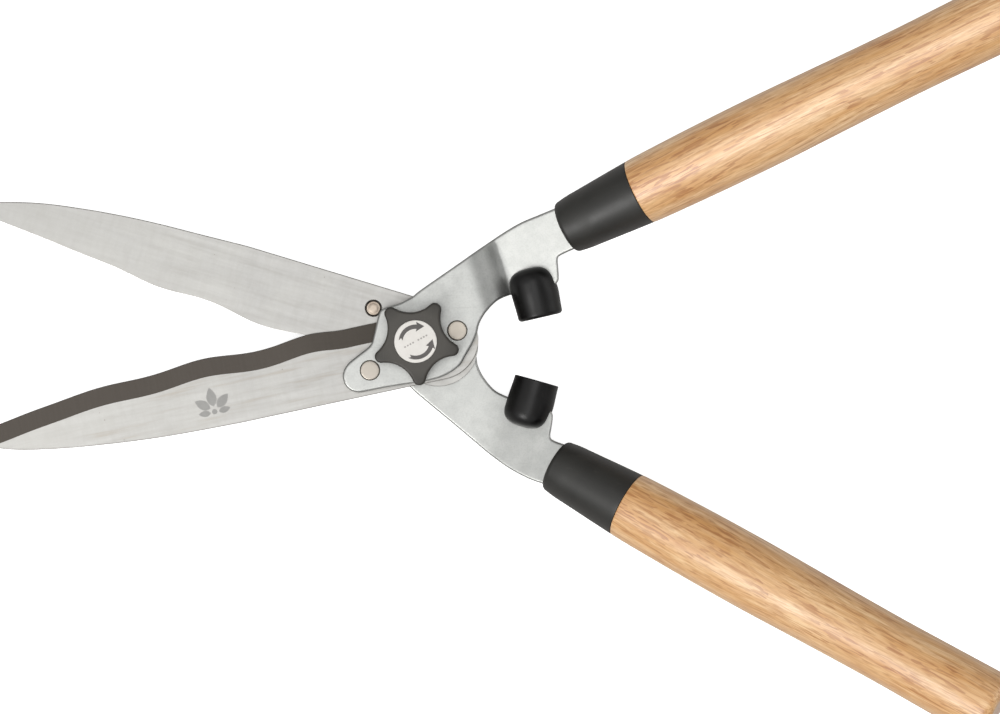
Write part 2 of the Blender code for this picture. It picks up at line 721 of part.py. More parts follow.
def star_outline():
    """Round lobe tips joined by hollow arcs that meet them in a common tangent."""
    tip = TIP_R - TIP_ROUND
    half_pitch = math.pi / LOBES
    # The hollow's centre lies at VALLEY_R + hollow from the axis, and at
    # hollow + TIP_ROUND from the tip's centre.
    hollow = ((tip ** 2 + VALLEY_R ** 2 - 2 * tip * VALLEY_R * math.cos(half_pitch)
               - TIP_ROUND ** 2)
              / (2 * TIP_ROUND - 2 * VALLEY_R + 2 * tip * math.cos(half_pitch)))
    reach = VALLEY_R + hollow
    centre = Vector((reach * math.cos(half_pitch), reach * math.sin(half_pitch)))
    to_hollow = centre - Vector((tip, 0))
    tip_end = math.atan2(to_hollow.y, to_hollow.x)
    lobe = []
    for k in range(ARC_STEPS + 1):
        angle = -tip_end + 2 * tip_end * k / ARC_STEPS
        lobe.append(Vector((tip + TIP_ROUND * math.cos(angle), TIP_ROUND * math.sin(angle))))
    for k in range(1, ARC_STEPS + 1):
        angle = half_pitch + math.pi + (tip_end - half_pitch) * (1 - 2 * k / (ARC_STEPS + 1))
        lobe.append(centre + Vector((hollow * math.cos(angle), hollow * math.sin(angle))))
    outline = []
    for i in range(LOBES):
        turn = Matrix.Rotation(math.radians(KNOB_TURN_DEG) + 2 * half_pitch * i, 2)
        outline += [turn @ point for point in lobe]
    return outline


def tension_knob():
    mesh = plate_mesh("tension_knob", anticlockwise(star_outline()), KNOB_Z, KNOB_H)
    obj = add_object("tension_knob", mesh, KNOB_PLASTIC)
    bevel = obj.modifiers.new("soft_edges", "BEVEL")
    bevel.width = 1.2 * MM
    bevel.segments = 2
    bevel.limit_method = "ANGLE"
    bevel.angle_limit = math.radians(60)
    boolean(obj, round_cutter("insert_room", INSERT_R + GAP, KNOB_Z - OVERRUN, INSERT_TOP + GAP))
    boolean(obj, round_cutter("label_room", LABEL_R + GAP, RECESS_Z, KNOB_TOP + OVERRUN,
                              steps=40))
    return obj


def knob_insert():
    """A bush with a groove round it near its lower end."""
    bore, outer, groove = BOLT_R + GAP, INSERT_R, INSERT_R - 0.8
    profile = [(bore, INSERT_TOP), (outer - 0.5, INSERT_TOP), (outer, INSERT_TOP - 0.5),
               (outer, INSERT_Z + 2.4), (groove, INSERT_Z + 2.0), (groove, INSERT_Z + 1.4),
               (outer, INSERT_Z + 1.0), (outer, INSERT_Z), (bore, INSERT_Z)]
    return turned("knob_insert", profile, BRASS, steps=24, closed=True)


def knob_label():
    low = RECESS_Z + GAP
    top = low + LABEL_T
    profile = [(0, top), (LABEL_R - 0.15, top), (LABEL_R, top - 0.15), (LABEL_R, low), (0, low)]
    return turned("knob_label", profile, LABEL_WHITE, steps=40)


# ---------------------------------------------------------------- assembly

def build_half(half, blade_hole, arm_hole):
    """Every piece of one half, with the cutter shaped like its arm."""
    blade_piece, arm_piece, room = blade(half), arm(half), arm_room(half)
    boolean(blade_piece, blade_hole)
    boolean(arm_piece, arm_hole)
    rivets = [rivet(half, which, place, arm_piece, blade_piece) for which, place in half.rivets]
    return [blade_piece, arm_piece, *rivets, bumper(half, room), ferrule(half, room),
            handle(half, room), room]


pivot_bolt()
neck_socket = square_cutter("neck_socket", NECK_W + 2 * GAP, *SOCKET_Z)
pivot_hole = round_cutter("pivot_hole", BOLT_R + GAP, -OVERRUN, PIVOT_HOLE_TOP)
build_half(REAR, blade_hole=pivot_hole, arm_hole=neck_socket)
front_pieces = build_half(FRONT, blade_hole=pivot_hole, arm_hole=pivot_hole)
front_pieces.append(wave_spring_washer())
washer = thrust_washer()
knob_pieces = [tension_knob(), knob_insert(), knob_label()]

# Joint axes: the front half turns, and the knob rides on the sliding washer
front_half_axis = axis_empty("front_half_axis", SHEAR_Z)
washer_axis = axis_empty("washer_axis", WASHER_Z)
knob_axis = axis_empty("knob_axis", KNOB_Z)
bpy.context.view_layer.update()
for piece in front_pieces:
    held_by(piece, front_half_axis)
held_by(washer, washer_axis)
held_by(knob_axis, washer_axis)
for piece in knob_pieces:
    held_by(piece, knob_axis)
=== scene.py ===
"""Two-handled garden shears, lying open and flat on the floor.

The pivot bolt stands on the Z axis, its head at z = 0. The blades point towards -X and the
handles towards +X. The front half, with its handle on the +Y side, lies over the rear half;
the two blades meet on the plane z = SHEAR_Z.
"""
import math
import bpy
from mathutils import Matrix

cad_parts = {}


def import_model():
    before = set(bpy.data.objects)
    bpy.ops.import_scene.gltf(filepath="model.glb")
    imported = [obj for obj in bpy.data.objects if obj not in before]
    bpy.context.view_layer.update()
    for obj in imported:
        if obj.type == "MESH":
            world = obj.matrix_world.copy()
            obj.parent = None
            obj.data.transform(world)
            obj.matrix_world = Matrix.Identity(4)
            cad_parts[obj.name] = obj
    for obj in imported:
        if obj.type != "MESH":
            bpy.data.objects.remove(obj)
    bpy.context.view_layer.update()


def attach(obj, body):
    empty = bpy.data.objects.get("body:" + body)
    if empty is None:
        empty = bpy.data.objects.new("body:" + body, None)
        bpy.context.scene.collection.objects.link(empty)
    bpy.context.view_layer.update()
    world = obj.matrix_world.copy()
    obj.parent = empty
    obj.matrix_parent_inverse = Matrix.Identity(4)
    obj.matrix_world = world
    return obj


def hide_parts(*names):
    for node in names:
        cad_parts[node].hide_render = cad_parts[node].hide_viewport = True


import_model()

from types import SimpleNamespace

import bmesh
import bpy
import numpy as np
from mathutils import Matrix, Vector
from mathutils.geometry import delaunay_2d_cdt

MM = 0.001  # every size below is in mm, the scene is in metres

# ---------------------------------------------------------------- the stack of layers

GAP = 0.3
ARM_T = 4.5
BLADE_T = 2.5
HEAD_T = 4.5
REAR_ARM_Z = HEAD_T + GAP
REAR_BLADE_Z = REAR_ARM_Z + ARM_T + GAP
FRONT_BLADE_Z = REAR_BLADE_Z + BLADE_T + GAP
FRONT_ARM_Z = FRONT_BLADE_Z + BLADE_T + GAP
SHEAR_Z = FRONT_BLADE_Z - GAP / 2
ARM_TOP = FRONT_ARM_Z + ARM_T

# ---------------------------------------------------------------- blade sizes
# "reach" runs from the pivot along the blade, "across" from its back to its cutting edge.

BLADE_L = 234.0
BACK_ACROSS = -21.3
HEEL_R = 20.2
HEEL_REACH = -10.8
HEEL_ACROSS = -1.1
CHOIL_REACH = 3.05
EDGE_T = 0.4
BEVEL_W = 9.3
BEVEL_HEEL_W = 1.5
WAVE_PITCH = 57.5
TIP_REACHES = (226.5, 228.0, 229.5, 230.8, 232.0, 232.9, 233.5, 233.85, BLADE_L)

# ---------------------------------------------------------------- arm sizes

# The front arm's long side, from the handle round the pivot to the lug: (x, y)
ARM_OUTLINE = (
    (61.8, 63.55), (51.8, 59.4), (41.8, 53.55), (31.8, 46.6), (21.8, 39.5),
    (11.8, 32.55), (1.8, 25.55), (-2.2, 22.35), (-8.7, 19.05), (-15.7, 16.85),
    (-18.2, 14.85), (-19.7, 9.85), (-21.2, 3.35), (-22.95, -1.8), (-28.9, -6.7),
    (-34.55, -11.6), (-36.65, -16.5), (-35.6, -21.4), (-32.8, -24.25), (-28.9, -25.3),
    (-24.0, -24.6), (-14.9, -22.8), (-1.55, -20.7), (7.5, -19.1), (12.45, -17.65),
    (17.45, -15.15), (22.0, -11.45), (24.5, -7.3), (28.2, -0.65), (30.3, 4.3),
    (31.65, 9.4), (35.0, 15.0), (40.6, 20.6), (46.75, 23.35), (52.6, 24.4),
)
# The ear between the lug and the handle: (x, y)
ARM_EAR = ((67.6, 26.6), (70.7, 30.05), (71.15, 32.6), (70.9, 37.05), (70.7, 41.55),
           (72.6, 43.45))
MIRROR_DEG = -2.4  # the line through the pivot that the rear arm is mirrored in
LUG_HALF_W = 4.6
LUG_END = 7.0  # how far the lug's end and root lie behind the bumper's face
LUG_ROOT = 12.2
LUG_CORNER = 1.2
SHOULDER_W = 22.4
TANG_W = 12.6
TANG_L = 9.0
BEND_DEG = 18.0
ARM_SLOPE = 0.2705
PIVOT_HOLE_R = 4.0 + GAP  # clears the bolt's shank

# ---------------------------------------------------------------- the two halves
# sign: +1 for the front half, -1 for the mirrored rear half
# back, base, wave: (reach, across) of the back, of the mean cutting edge, and (reach, height)
#     of the ripple on it, which crests at wave_crest
# bends: (distance along bend_deg, slope) of the folded arm
# bumper: (x, y) of its stop face, its direction in degrees, its length, its face rounding

FRONT = SimpleNamespace(
    name="front",
    sign=1.0,
    blade_deg=192.07,
    blade_flat_z=FRONT_BLADE_Z,
    back=((95, BACK_ACROSS), (125, -20.5), (145, -19.35), (165, -17.5), (185, -15.05),
          (205, -11.5), (215, -8.6), (224, -5.4), (230, -3.0), (234, -0.9)),
    base=((22, 13.6), (60, 13.5), (79, 13.35), (108, 12.8), (137, 11.9), (165, 9.9),
          (190, 7.1), (212, 3.5), (226, 1.6), (234, 0.6)),
    wave=((30, 0.0), (50, 1.3), (79, 1.2), (108, 1.15), (137, 0.8), (165, 0.45), (200, 0.0)),
    wave_crest=108.0,
    arm_z=FRONT_ARM_Z,
    bend_deg=BEND_DEG,
    bends=((35.0, 0.0), (46.0, -0.75), (50.3, -0.75), (54.5, ARM_SLOPE)),
    arm_hole_r=PIVOT_HOLE_R,
    handle_start=(74.7, 56.7),
    handle_deg=25.70,
    bumper_face=(62.3, 12.1),
    bumper_deg=-77.0,
    bumper_l=25.4,
    bumper_round=1.9,
    rivets={"outer": (-23.05, -14.25), "inner": (20.45, 5.55)},
)
REAR = SimpleNamespace(
    name="rear",
    sign=-1.0,
    blade_deg=163.15,
    blade_flat_z=REAR_BLADE_Z + BLADE_T,
    back=((95, BACK_ACROSS), (119, -20.15), (140, -19.2), (160, -17.65), (180, -15.25),
          (200, -11.9), (219, -6.9), (228, -3.7), (234, -0.9)),
    base=((22, 14.3), (48, 14.3), (77, 13.3), (106, 11.8), (135, 10.1), (165, 7.3),
          (195, 4.4), (217, 2.6), (228, 1.4), (234, 0.6)),
    wave=((30, 0.0), (50, 1.3), (77, 1.3), (105, 1.2), (135, 0.9), (165, 0.2), (180, 0.0)),
    wave_crest=77.5,
    arm_z=REAR_ARM_Z,
    bend_deg=2 * MIRROR_DEG - BEND_DEG,
    bends=((36.0, 0.0), (58.5, ARM_SLOPE)),
    arm_hole_r=6.9,  # clears the corners of the bolt's square neck
    handle_start=(69.3, -61.4),
    handle_deg=-28.80,
    bumper_face=(60.27, -19.35),
    bumper_deg=74.2,
    bumper_l=24.4,
    bumper_round=0.55,
    rivets={"outer": (-21.6, 16.8), "inner": (19.9, -7.2)},
)
HALVES = (FRONT, REAR)

# ---------------------------------------------------------------- bolt, knob and handle sizes

RIVET_HEAD_R = 4.95
BOLT_R = 4.0
BOLT_HEAD_R = 12.0
BOLT_TOP = 30.0
THREAD_END = 19.6
THREAD_PITCH = 1.25
NECK_W = 9.0
SPRING_Z = (20.0, 21.6)
SPRING_R = (4.5, 9.2)
WASHER_Z = (21.9, 23.1)
WASHER_R = (4.4, 10.0)
KNOB_Z = (23.4, 34.0)
KNOB_TIP_R = 21.8
KNOB_TIP_ROUND = 3.2
KNOB_VALLEY_R = 14.6
KNOB_LOBES = 5
KNOB_TURN_DEG = -12.5
INSERT_Z = (23.7, 31.0)
INSERT_R = 6.5
LABEL_R = 10.6
LABEL_RECESS = 0.9
LABEL_Z = KNOB_Z[1] - LABEL_RECESS + GAP - 0.25
LABEL_TOP = LABEL_Z + 0.72

BUMPER_Z = 12.0
BUMPER_R = 11.9
BUMPER_FACE_R = 11.3
BUMPER_DOME_L = 8.2
FERRULE_L = 42.0
FERRULE_R = (13.6, 16.6)
FERRULE_WALL = 2.3
HANDLE_L = 208.7
HANDLE_END_ROUND = 5.0
# The grip: (distance from the ferrule, radius)
HANDLE_R = ((0, 16.7), (8, 17.0), (20, 17.3), (45, 17.7), (75, 17.75), (100, 17.35),
            (125, 16.95), (150, 16.75), (175, 16.95), (198, 17.2))


# ---------------------------------------------------------------- curves in the plane

def polar(radius, degrees):
    return Vector((radius * math.cos(math.radians(degrees)),
                   radius * math.sin(math.radians(degrees))))


def quarter(steps):
    """(sine, cosine) at each step of a quarter turn, both ends included."""
    angles = [math.radians(90 * k / steps) for k in range(steps + 1)]
    return [(math.sin(angle), math.cos(angle)) for angle in angles]


def mirrored(point):
    turn = math.radians(2 * MIRROR_DEG)
    return (point[0] * math.cos(turn) + point[1] * math.sin(turn),
            point[0] * math.sin(turn) - point[1] * math.cos(turn))


def flowing(points, steps):
    """An open Catmull-Rom curve through the points, with steps per span."""
    pts = [Vector(p) for p in points]
    pts = [2 * pts[0] - pts[1]] + pts + [2 * pts[-1] - pts[-2]]
    made = []
    for before, start, end, after in zip(pts, pts[1:], pts[2:], pts[3:]):
        for k in range(steps):
            part = k / steps
            made.append(0.5 * (2 * start + (end - before) * part
                               + (2 * before - 5 * start + 4 * end - after) * part * part
                               + (3 * start - before - 3 * end + after) * part ** 3))
    made.append(pts[-2])
    return made


def value_at(table, x):
    """A cubic curve through the (x, value) rows, level beyond both ends."""
    if x <= table[0][0]:
        return table[0][1]
    if x >= table[-1][0]:
        return table[-1][1]

    def slope(row):
        before = table[max(row - 1, 0)]
        after = table[min(row + 1, len(table) - 1)]
        return (after[1] - before[1]) / (after[0] - before[0])

    row = next(k for k in range(len(table) - 1) if x <= table[k + 1][0])
    (x0, y0), (x1, y1) = table[row:row + 2]
    run = x1 - x0
    part = (x - x0) / run
    return ((2 * part ** 3 - 3 * part ** 2 + 1) * y0
            + (part ** 3 - 2 * part ** 2 + part) * run * slope(row)
            + (3 * part ** 2 - 2 * part ** 3) * y1
            + (part ** 3 - part ** 2) * run * slope(row + 1))


def grown(outline, distance):
    """A closed anticlockwise outline moved outwards, or inwards for a negative distance."""
    made = []
    for i, point in enumerate(outline):
        before = (point - outline[i - 1]).normalized()
        after = (outline[(i + 1) % len(outline)] - point).normalized()
        normal_before = Vector((before.y, -before.x))
        normal_after = Vector((after.y, -after.x))
        normal = (normal_before + normal_after).normalized()
        made.append(point + normal * (distance / max(normal.dot(normal_before), 0.5)))
    return made


def anticlockwise(outline):
    area = sum(p.x * q.y - p.y * q.x for p, q in zip(outline, outline[1:] + outline[:1]))
    return outline if area > 0 else outline[::-1]


def circle(x, y, radius, steps=48):
    return [Vector((x, y)) + polar(radius, 360 * k / steps) for k in range(steps)]


def inside(points, loop):
    """Which of the points lie inside a closed loop."""
    starts = np.asarray([(v[0], v[1]) for v in loop], float)
    hit = np.zeros(len(points), bool)
    for (x0, y0), (x1, y1) in zip(starts, np.roll(starts, -1, axis=0)):
        if y0 == y1:
            continue
        cross = (y0 > points[:, 1]) != (y1 > points[:, 1])
        hit ^= cross & (points[:, 0] < (x1 - x0) * (points[:, 1] - y0) / (y1 - y0) + x0)
    return hit


def in_area(points, loops):
    """Which of the points lie inside the first loop and outside the others."""
    keep = inside(points, loops[0])
    for loop in loops[1:]:
        keep &= ~inside(points, loop)
    return keep


def fill(loops, spacing):
    """Points and triangles over the area inside the first loop and outside the others,
    with a triangular grid of points between the edges."""
    points = [Vector((v[0], v[1])) for loop in loops for v in loop]
    edges, start = [], 0
    for loop in loops:
        count = len(loop)
        edges += [(start + i, start + (i + 1) % count) for i in range(count)]
        start += count
    edge_points = np.array([(v.x, v.y) for v in points])
    low, high = edge_points.min(0), edge_points.max(0)
    row_step = spacing * 0.866
    grid = []
    for row in range(int((high[1] - low[1]) / row_step) + 2):
        y = low[1] + row * spacing * 0.866
        x = low[0] + (spacing / 2 if row % 2 else 0.0)
        while x < high[0]:
            grid.append((x, y))
            x += spacing
    grid = np.array(grid)
    grid = grid[in_area(grid, loops)]
    nearest = np.array([np.min(np.hypot(*(edge_points - spot).T)) for spot in grid])
    grid = grid[nearest > spacing * 0.45]
    points += [Vector((float(x), float(y))) for x, y in grid]
    made = delaunay_2d_cdt(points, edges, [], 0, 1e-7)
    verts, faces = made[0], made[2]
    flat = np.array([(v.x, v.y) for v in verts])
    tris = np.array([list(face) for face in faces if len(face) == 3])
    keep = in_area(flat[tris].mean(axis=1), loops)
    return [Vector(v) for v in verts], [tuple(int(i) for i in tri) for tri in tris[keep]]


# ---------------------------------------------------------------- node building

class Nodes:
    """Short calls that add nodes to a tree and return one output socket each."""

    def __init__(self, tree):
        self.tree = tree

    def put(self, socket, value):
        if isinstance(value, bpy.types.NodeSocket):
            self.tree.links.new(value, socket)
        elif isinstance(value, tuple) and len(value) == 3 and socket.type == "RGBA":
            socket.default_value = (*value, 1.0)
        else:
            socket.default_value = value

    def node(self, kind, ins=None, out=0, **attrs):
        made = self.tree.nodes.new(kind)
        for key, value in attrs.items():
            setattr(made, key, value)
        for key, value in (ins or {}).items():
            self.put(made.inputs[key], value)
        return made.outputs[out]

    def math(self, operation, *values):
        return self.node("ShaderNodeMath", dict(enumerate(values)), operation=operation)

    def plus(self, value, other, times):
        return self.math("ADD", value, self.math("MULTIPLY", other, times))

    def minus(self, value, other, times):
        return self.math("SUBTRACT", value, self.math("MULTIPLY", other, times))

    def span(self, value, over=(0.3, 0.7), to=(0.0, 1.0), **attrs):
        """The value, mapped from the range over to the range to."""
        return self.node("ShaderNodeMapRange", {"Value": value, "From Min": over[0],
                                                "From Max": over[1], "To Min": to[0],
                                                "To Max": to[1]}, **attrs)

    def parts(self, vector):
        """The x, y and z sockets of a vector."""
        return self.node("ShaderNodeSeparateXYZ", {0: vector}).node.outputs

    def dot(self, vector, direction):
        return self.node("ShaderNodeVectorMath", {0: vector, 1: direction}, "Value",
                         operation="DOT_PRODUCT")


class Look(Nodes):
    """One node material round a Principled shader."""

    SOCKETS = {"colour": "Base Color", "rough": "Roughness", "metal": "Metallic",
               "normal": "Normal", "spec": "Specular IOR Level", "coat": "Coat Weight",
               "coat_rough": "Coat Roughness", "coat_normal": "Coat Normal",
               "glow": "Emission Color", "glow_strength": "Emission Strength"}

    def __init__(self, name):
        self.mat = bpy.data.materials.new(name)
        self.mat.use_nodes = True
        super().__init__(self.mat.node_tree)
        self.shader = self.tree.nodes["Principled BSDF"]

    def set(self, **values):
        for key, value in values.items():
            self.put(self.shader.inputs[self.SOCKETS[key]], value)
        return self.mat

    def mapped(self, vector, scale=(1, 1, 1), shift=(0, 0, 0), turn=(0, 0, 0)):
        return self.node("ShaderNodeMapping", {"Vector": vector, "Scale": scale,
                                               "Location": shift, "Rotation": turn})

    def place(self, **mapping):
        return self.mapped(self.node("ShaderNodeTexCoord", out="Object"), **mapping)

    def noise(self, vector, scale, detail=3.0, rough=0.55, distort=0.0, out=0):
        return self.node("ShaderNodeTexNoise", {"Vector": vector, "Scale": scale,
                                                "Detail": detail, "Roughness": rough,
                                                "Distortion": distort}, out)

    def stretched(self, vector, scale, shift=(0, 0, 0), turn=(0, 0, 0), **noise):
        """Noise with its own scale on each axis."""
        return self.noise(self.mapped(vector, scale, shift, turn), 1.0, **noise)

    def from_axis(self, x, y):
        return self.math("SQRT", self.math("ADD", self.math("POWER", x, 2.0),
                                           self.math("POWER", y, 2.0)))

    def pits(self, vector, scale, over, patch_scale, patch_over):
        """Small round pits that only show in patches."""
        cells = self.node("ShaderNodeTexVoronoi", {"Vector": vector, "Scale": scale})
        patches = self.noise(vector, patch_scale, detail=1.0)
        return self.math("MULTIPLY", self.span(cells, over, (1.0, 0.0)),
                         self.span(patches, patch_over))

    def mix(self, factor, first, second):
        # sockets 6 and 7 are the colour pair of the Mix node
        return self.node("ShaderNodeMix", {0: factor, 6: first, 7: second}, 2,
                         data_type="RGBA")

    def layer(self, base, value, over, amount, colour):
        """Colour laid over the base where the value rises through a range."""
        return self.mix(self.span(value, over, (0.0, amount)), base, colour)

    def tint(self, base, mask, amount, colour):
        return self.mix(self.math("MULTIPLY", mask, amount), base, colour)

    def mark(self, name):
        return self.node("ShaderNodeAttribute", out="Fac", attribute_name=name)

    def bump(self, height, strength, distance):
        return self.node("ShaderNodeBump", {"Height": height, "Strength": strength,
                                            "Distance": distance})


def srgb(*channels):
    scaled = [channel / 255.0 for channel in channels]
    return tuple(c / 12.92 if c <= 0.04045 else ((c + 0.055) / 1.055) ** 2.4 for c in scaled)


# ---------------------------------------------------------------- materials
# Texture coordinates are in metres, so a noise scale of 1000 makes features about 1 mm wide.

def blade_steel(name, degrees, warm, streaky, tone):
    """Satin rolled steel with faint long streaks and small pits; painted shade on its edges and
    ground bevel.
    """

    def toned(*channels):
        return srgb(*(channel * tone for channel in channels))

    look = Look(name)
    along = look.place(turn=(0, 0, -math.radians(degrees)))
    streaks = look.stretched(along, scale=(26, 420, 40), detail=4.0, rough=0.6)
    clouds = look.noise(along, scale=38.0, rough=0.6, distort=0.4)
    speckle = look.noise(along, scale=950.0, detail=2.0, rough=0.5)
    pit = look.pits(along, scale=260.0, over=(0.05, 0.10), patch_scale=120.0,
                    patch_over=(0.60, 0.66))
    cross = look.stretched(along, scale=(300, 75, 60), rough=0.62, distort=0.3)
    base = look.mix(look.span(clouds, over=(0.35, 0.68)), toned(193, 192, 188),
                    toned(199, 198, 195))
    base = look.layer(base, streaks, over=(0.35, 0.70), amount=streaky,
                      colour=toned(178, 175, 170))
    base = look.layer(base, cross, over=(0.42, 0.66), amount=0.24, colour=toned(180, 178, 173))
    base = look.tint(base, look.span(streaks, over=(0.56, 0.70)), amount=warm,
                     colour=toned(186, 174, 158))
    base = look.layer(base, speckle, over=(0.42, 0.62), amount=0.10, colour=srgb(165, 162, 158))
    base = look.tint(base, pit, amount=0.55, colour=srgb(120, 112, 104))
    # the ground bevel: grind lines over painted shade, as on a face turned from the light; darker
    # towards the heel
    lines = look.stretched(along, scale=(900, 60, 60), detail=2.0, rough=0.6)
    ground = look.mix(look.span(lines, over=(0.35, 0.65)), srgb(100, 94, 88), srgb(102, 96, 90))
    ground = look.layer(ground, look.parts(along)[0], over=(0.070, 0.012), amount=0.75,
                        colour=srgb(84, 79, 73))
    base = look.mix(look.mark("ground"), base, ground)
    # painted shade along the spine, the cutting edge and the hole walls
    base = look.tint(base, look.mark("rim"), amount=0.68, colour=srgb(90, 82, 74))
    rough = look.plus(look.span(clouds, to=(0.40, 0.50)), look.math("SUBTRACT", streaks, 0.5),
                      times=0.25)
    height = look.plus(look.math("MULTIPLY", streaks, 0.6), speckle, times=0.4)
    height = look.minus(height, pit, times=1.2)
    return look.set(colour=base, rough=rough, metal=1.0,
                    normal=look.bump(height, strength=0.22, distance=0.00006))


def arm_steel(name, shift, edge):
    """Dull zinc-plated pressed steel: cloudy, finely speckled, with painted shade on its rolled
    edges.
    """
    look = Look(name)
    coords = look.place(shift=shift)
    clouds = look.noise(coords, scale=30.0, detail=4.0, rough=0.62, distort=0.6)
    mottling = look.noise(coords, scale=165.0)
    speckle = look.noise(coords, scale=1300.0, detail=2.0, rough=0.5)
    pit = look.pits(coords, scale=130.0, over=(0.045, 0.08), patch_scale=55.0,
                    patch_over=(0.60, 0.64))
    scratch = look.stretched(coords, scale=(40, 900, 40), turn=(0, 0, 0.5), detail=2.0,
                             rough=0.5, distort=0.3)
    base = look.mix(look.span(clouds, over=(0.32, 0.70)), srgb(178, 179, 176),
                    srgb(195, 196, 193))
    base = look.layer(base, mottling, over=(0.40, 0.68), amount=0.30, colour=srgb(158, 159, 157))
    base = look.layer(base, speckle, over=(0.45, 0.65), amount=0.14, colour=srgb(132, 132, 130))
    base = look.layer(base, scratch, over=(0.66, 0.74), amount=0.22, colour=srgb(142, 141, 138))
    base = look.tint(base, pit, amount=0.6, colour=srgb(110, 106, 100))
    # painted shade on the rolled edges, as dark as edge sets
    base = look.tint(base, look.math("POWER", look.mark("rim"), 1.4), amount=edge,
                     colour=srgb(86, 82, 78))
    height = look.plus(look.math("MULTIPLY", mottling, 0.7), speckle, times=0.35)
    height = look.minus(height, pit, times=1.5)
    return look.set(colour=base, rough=look.span(clouds, to=(0.40, 0.52)), metal=1.0,
                    normal=look.bump(height, strength=0.28, distance=0.00008))


def turned_metal(name, light, dark, rough):
    """Lathe-turned or pressed metal with faint rings about its own axis and painted shade on its
    edges.
    """
    look = Look(name)
    coords = look.place()
    x, y, z = look.parts(coords)
    radius = look.from_axis(x, y)
    clouds = look.noise(coords, scale=160.0, rough=0.6, distort=0.5)
    rings = look.noise(look.node("ShaderNodeCombineXYZ", {0: radius, 1: z}), scale=2600.0,
                       detail=2.0, rough=0.5)
    base = look.mix(look.span(clouds, over=(0.32, 0.68)), dark, light)
    base = look.layer(base, rings, over=(0.45, 0.7), amount=0.22, colour=dark)
    # painted shade on the marked edges and in the thread roots
    base = look.tint(base, look.mark("rim"), amount=0.38, colour=srgb(112, 98, 86))
    height = look.plus(look.math("MULTIPLY", rings, 0.5), clouds, times=0.5)
    return look.set(colour=base, rough=look.span(clouds, to=(rough - 0.05, rough + 0.08)),
                    metal=1.0, normal=look.bump(height, strength=0.2, distance=0.00005))


def gap_shade_and_grime():
    """Painted shade and dark residue in the narrow gaps round rivets and bores."""
    look = Look("gap_shade_and_grime")
    stain = look.noise(look.place(), scale=700.0, rough=0.6)
    base = look.mix(look.span(stain, over=(0.35, 0.65)), srgb(70, 56, 46), srgb(98, 84, 72))
    return look.set(colour=base, rough=look.span(stain, to=(0.6, 0.85)), metal=0.3,
                    normal=look.bump(stain, strength=0.4, distance=0.0001))


def moulded(name, low, high, rough, spec, grain, scuffs, tip_shade=0.0):
    """Moulded plastic or rubber with a fine grain, flow clouds, light scuffs and painted shade on
    its edges; tips is how much painted shade darkens it far from its own axis."""

    def darkened(*factors):
        return tuple(channel * factor for channel, factor in zip(low, factors))

    look = Look(name)
    coords = look.place()
    clouds = look.noise(coords, scale=55.0, rough=0.6, distort=0.5)
    fine = look.noise(coords, scale=grain, detail=2.0, rough=0.5)
    scuff = look.stretched(coords, scale=(500, 70, 160), turn=(0.3, 0.2, 0.7), rough=0.6,
                           distort=0.4)
    base = look.mix(look.span(clouds), low, high)
    base = look.layer(base, scuff, over=(0.62, 0.78), amount=scuffs, colour=srgb(128, 126, 120))
    # painted shade on the rounded edges
    base = look.tint(base, look.mark("rim"), amount=0.55, colour=darkened(0.35, 0.33, 0.3))
    # painted shade darkening the knob's lobes towards their ends
    if tip_shade:
        x, y, _ = look.parts(coords)
        uneven = look.plus(look.from_axis(x, y), look.math("SUBTRACT", clouds, 0.5), times=0.006)
        base = look.layer(base, uneven, over=(0.0145, 0.0205), amount=tip_shade,
                          colour=darkened(0.25, 0.24, 0.22))
    spread = look.plus(look.span(clouds, to=(rough - 0.05, rough + 0.06)),
                       look.span(scuff, over=(0.6, 0.8)), times=0.08)
    return look.set(colour=base, rough=spread, spec=spec,
                    normal=look.bump(fine, strength=0.25, distance=0.00006))


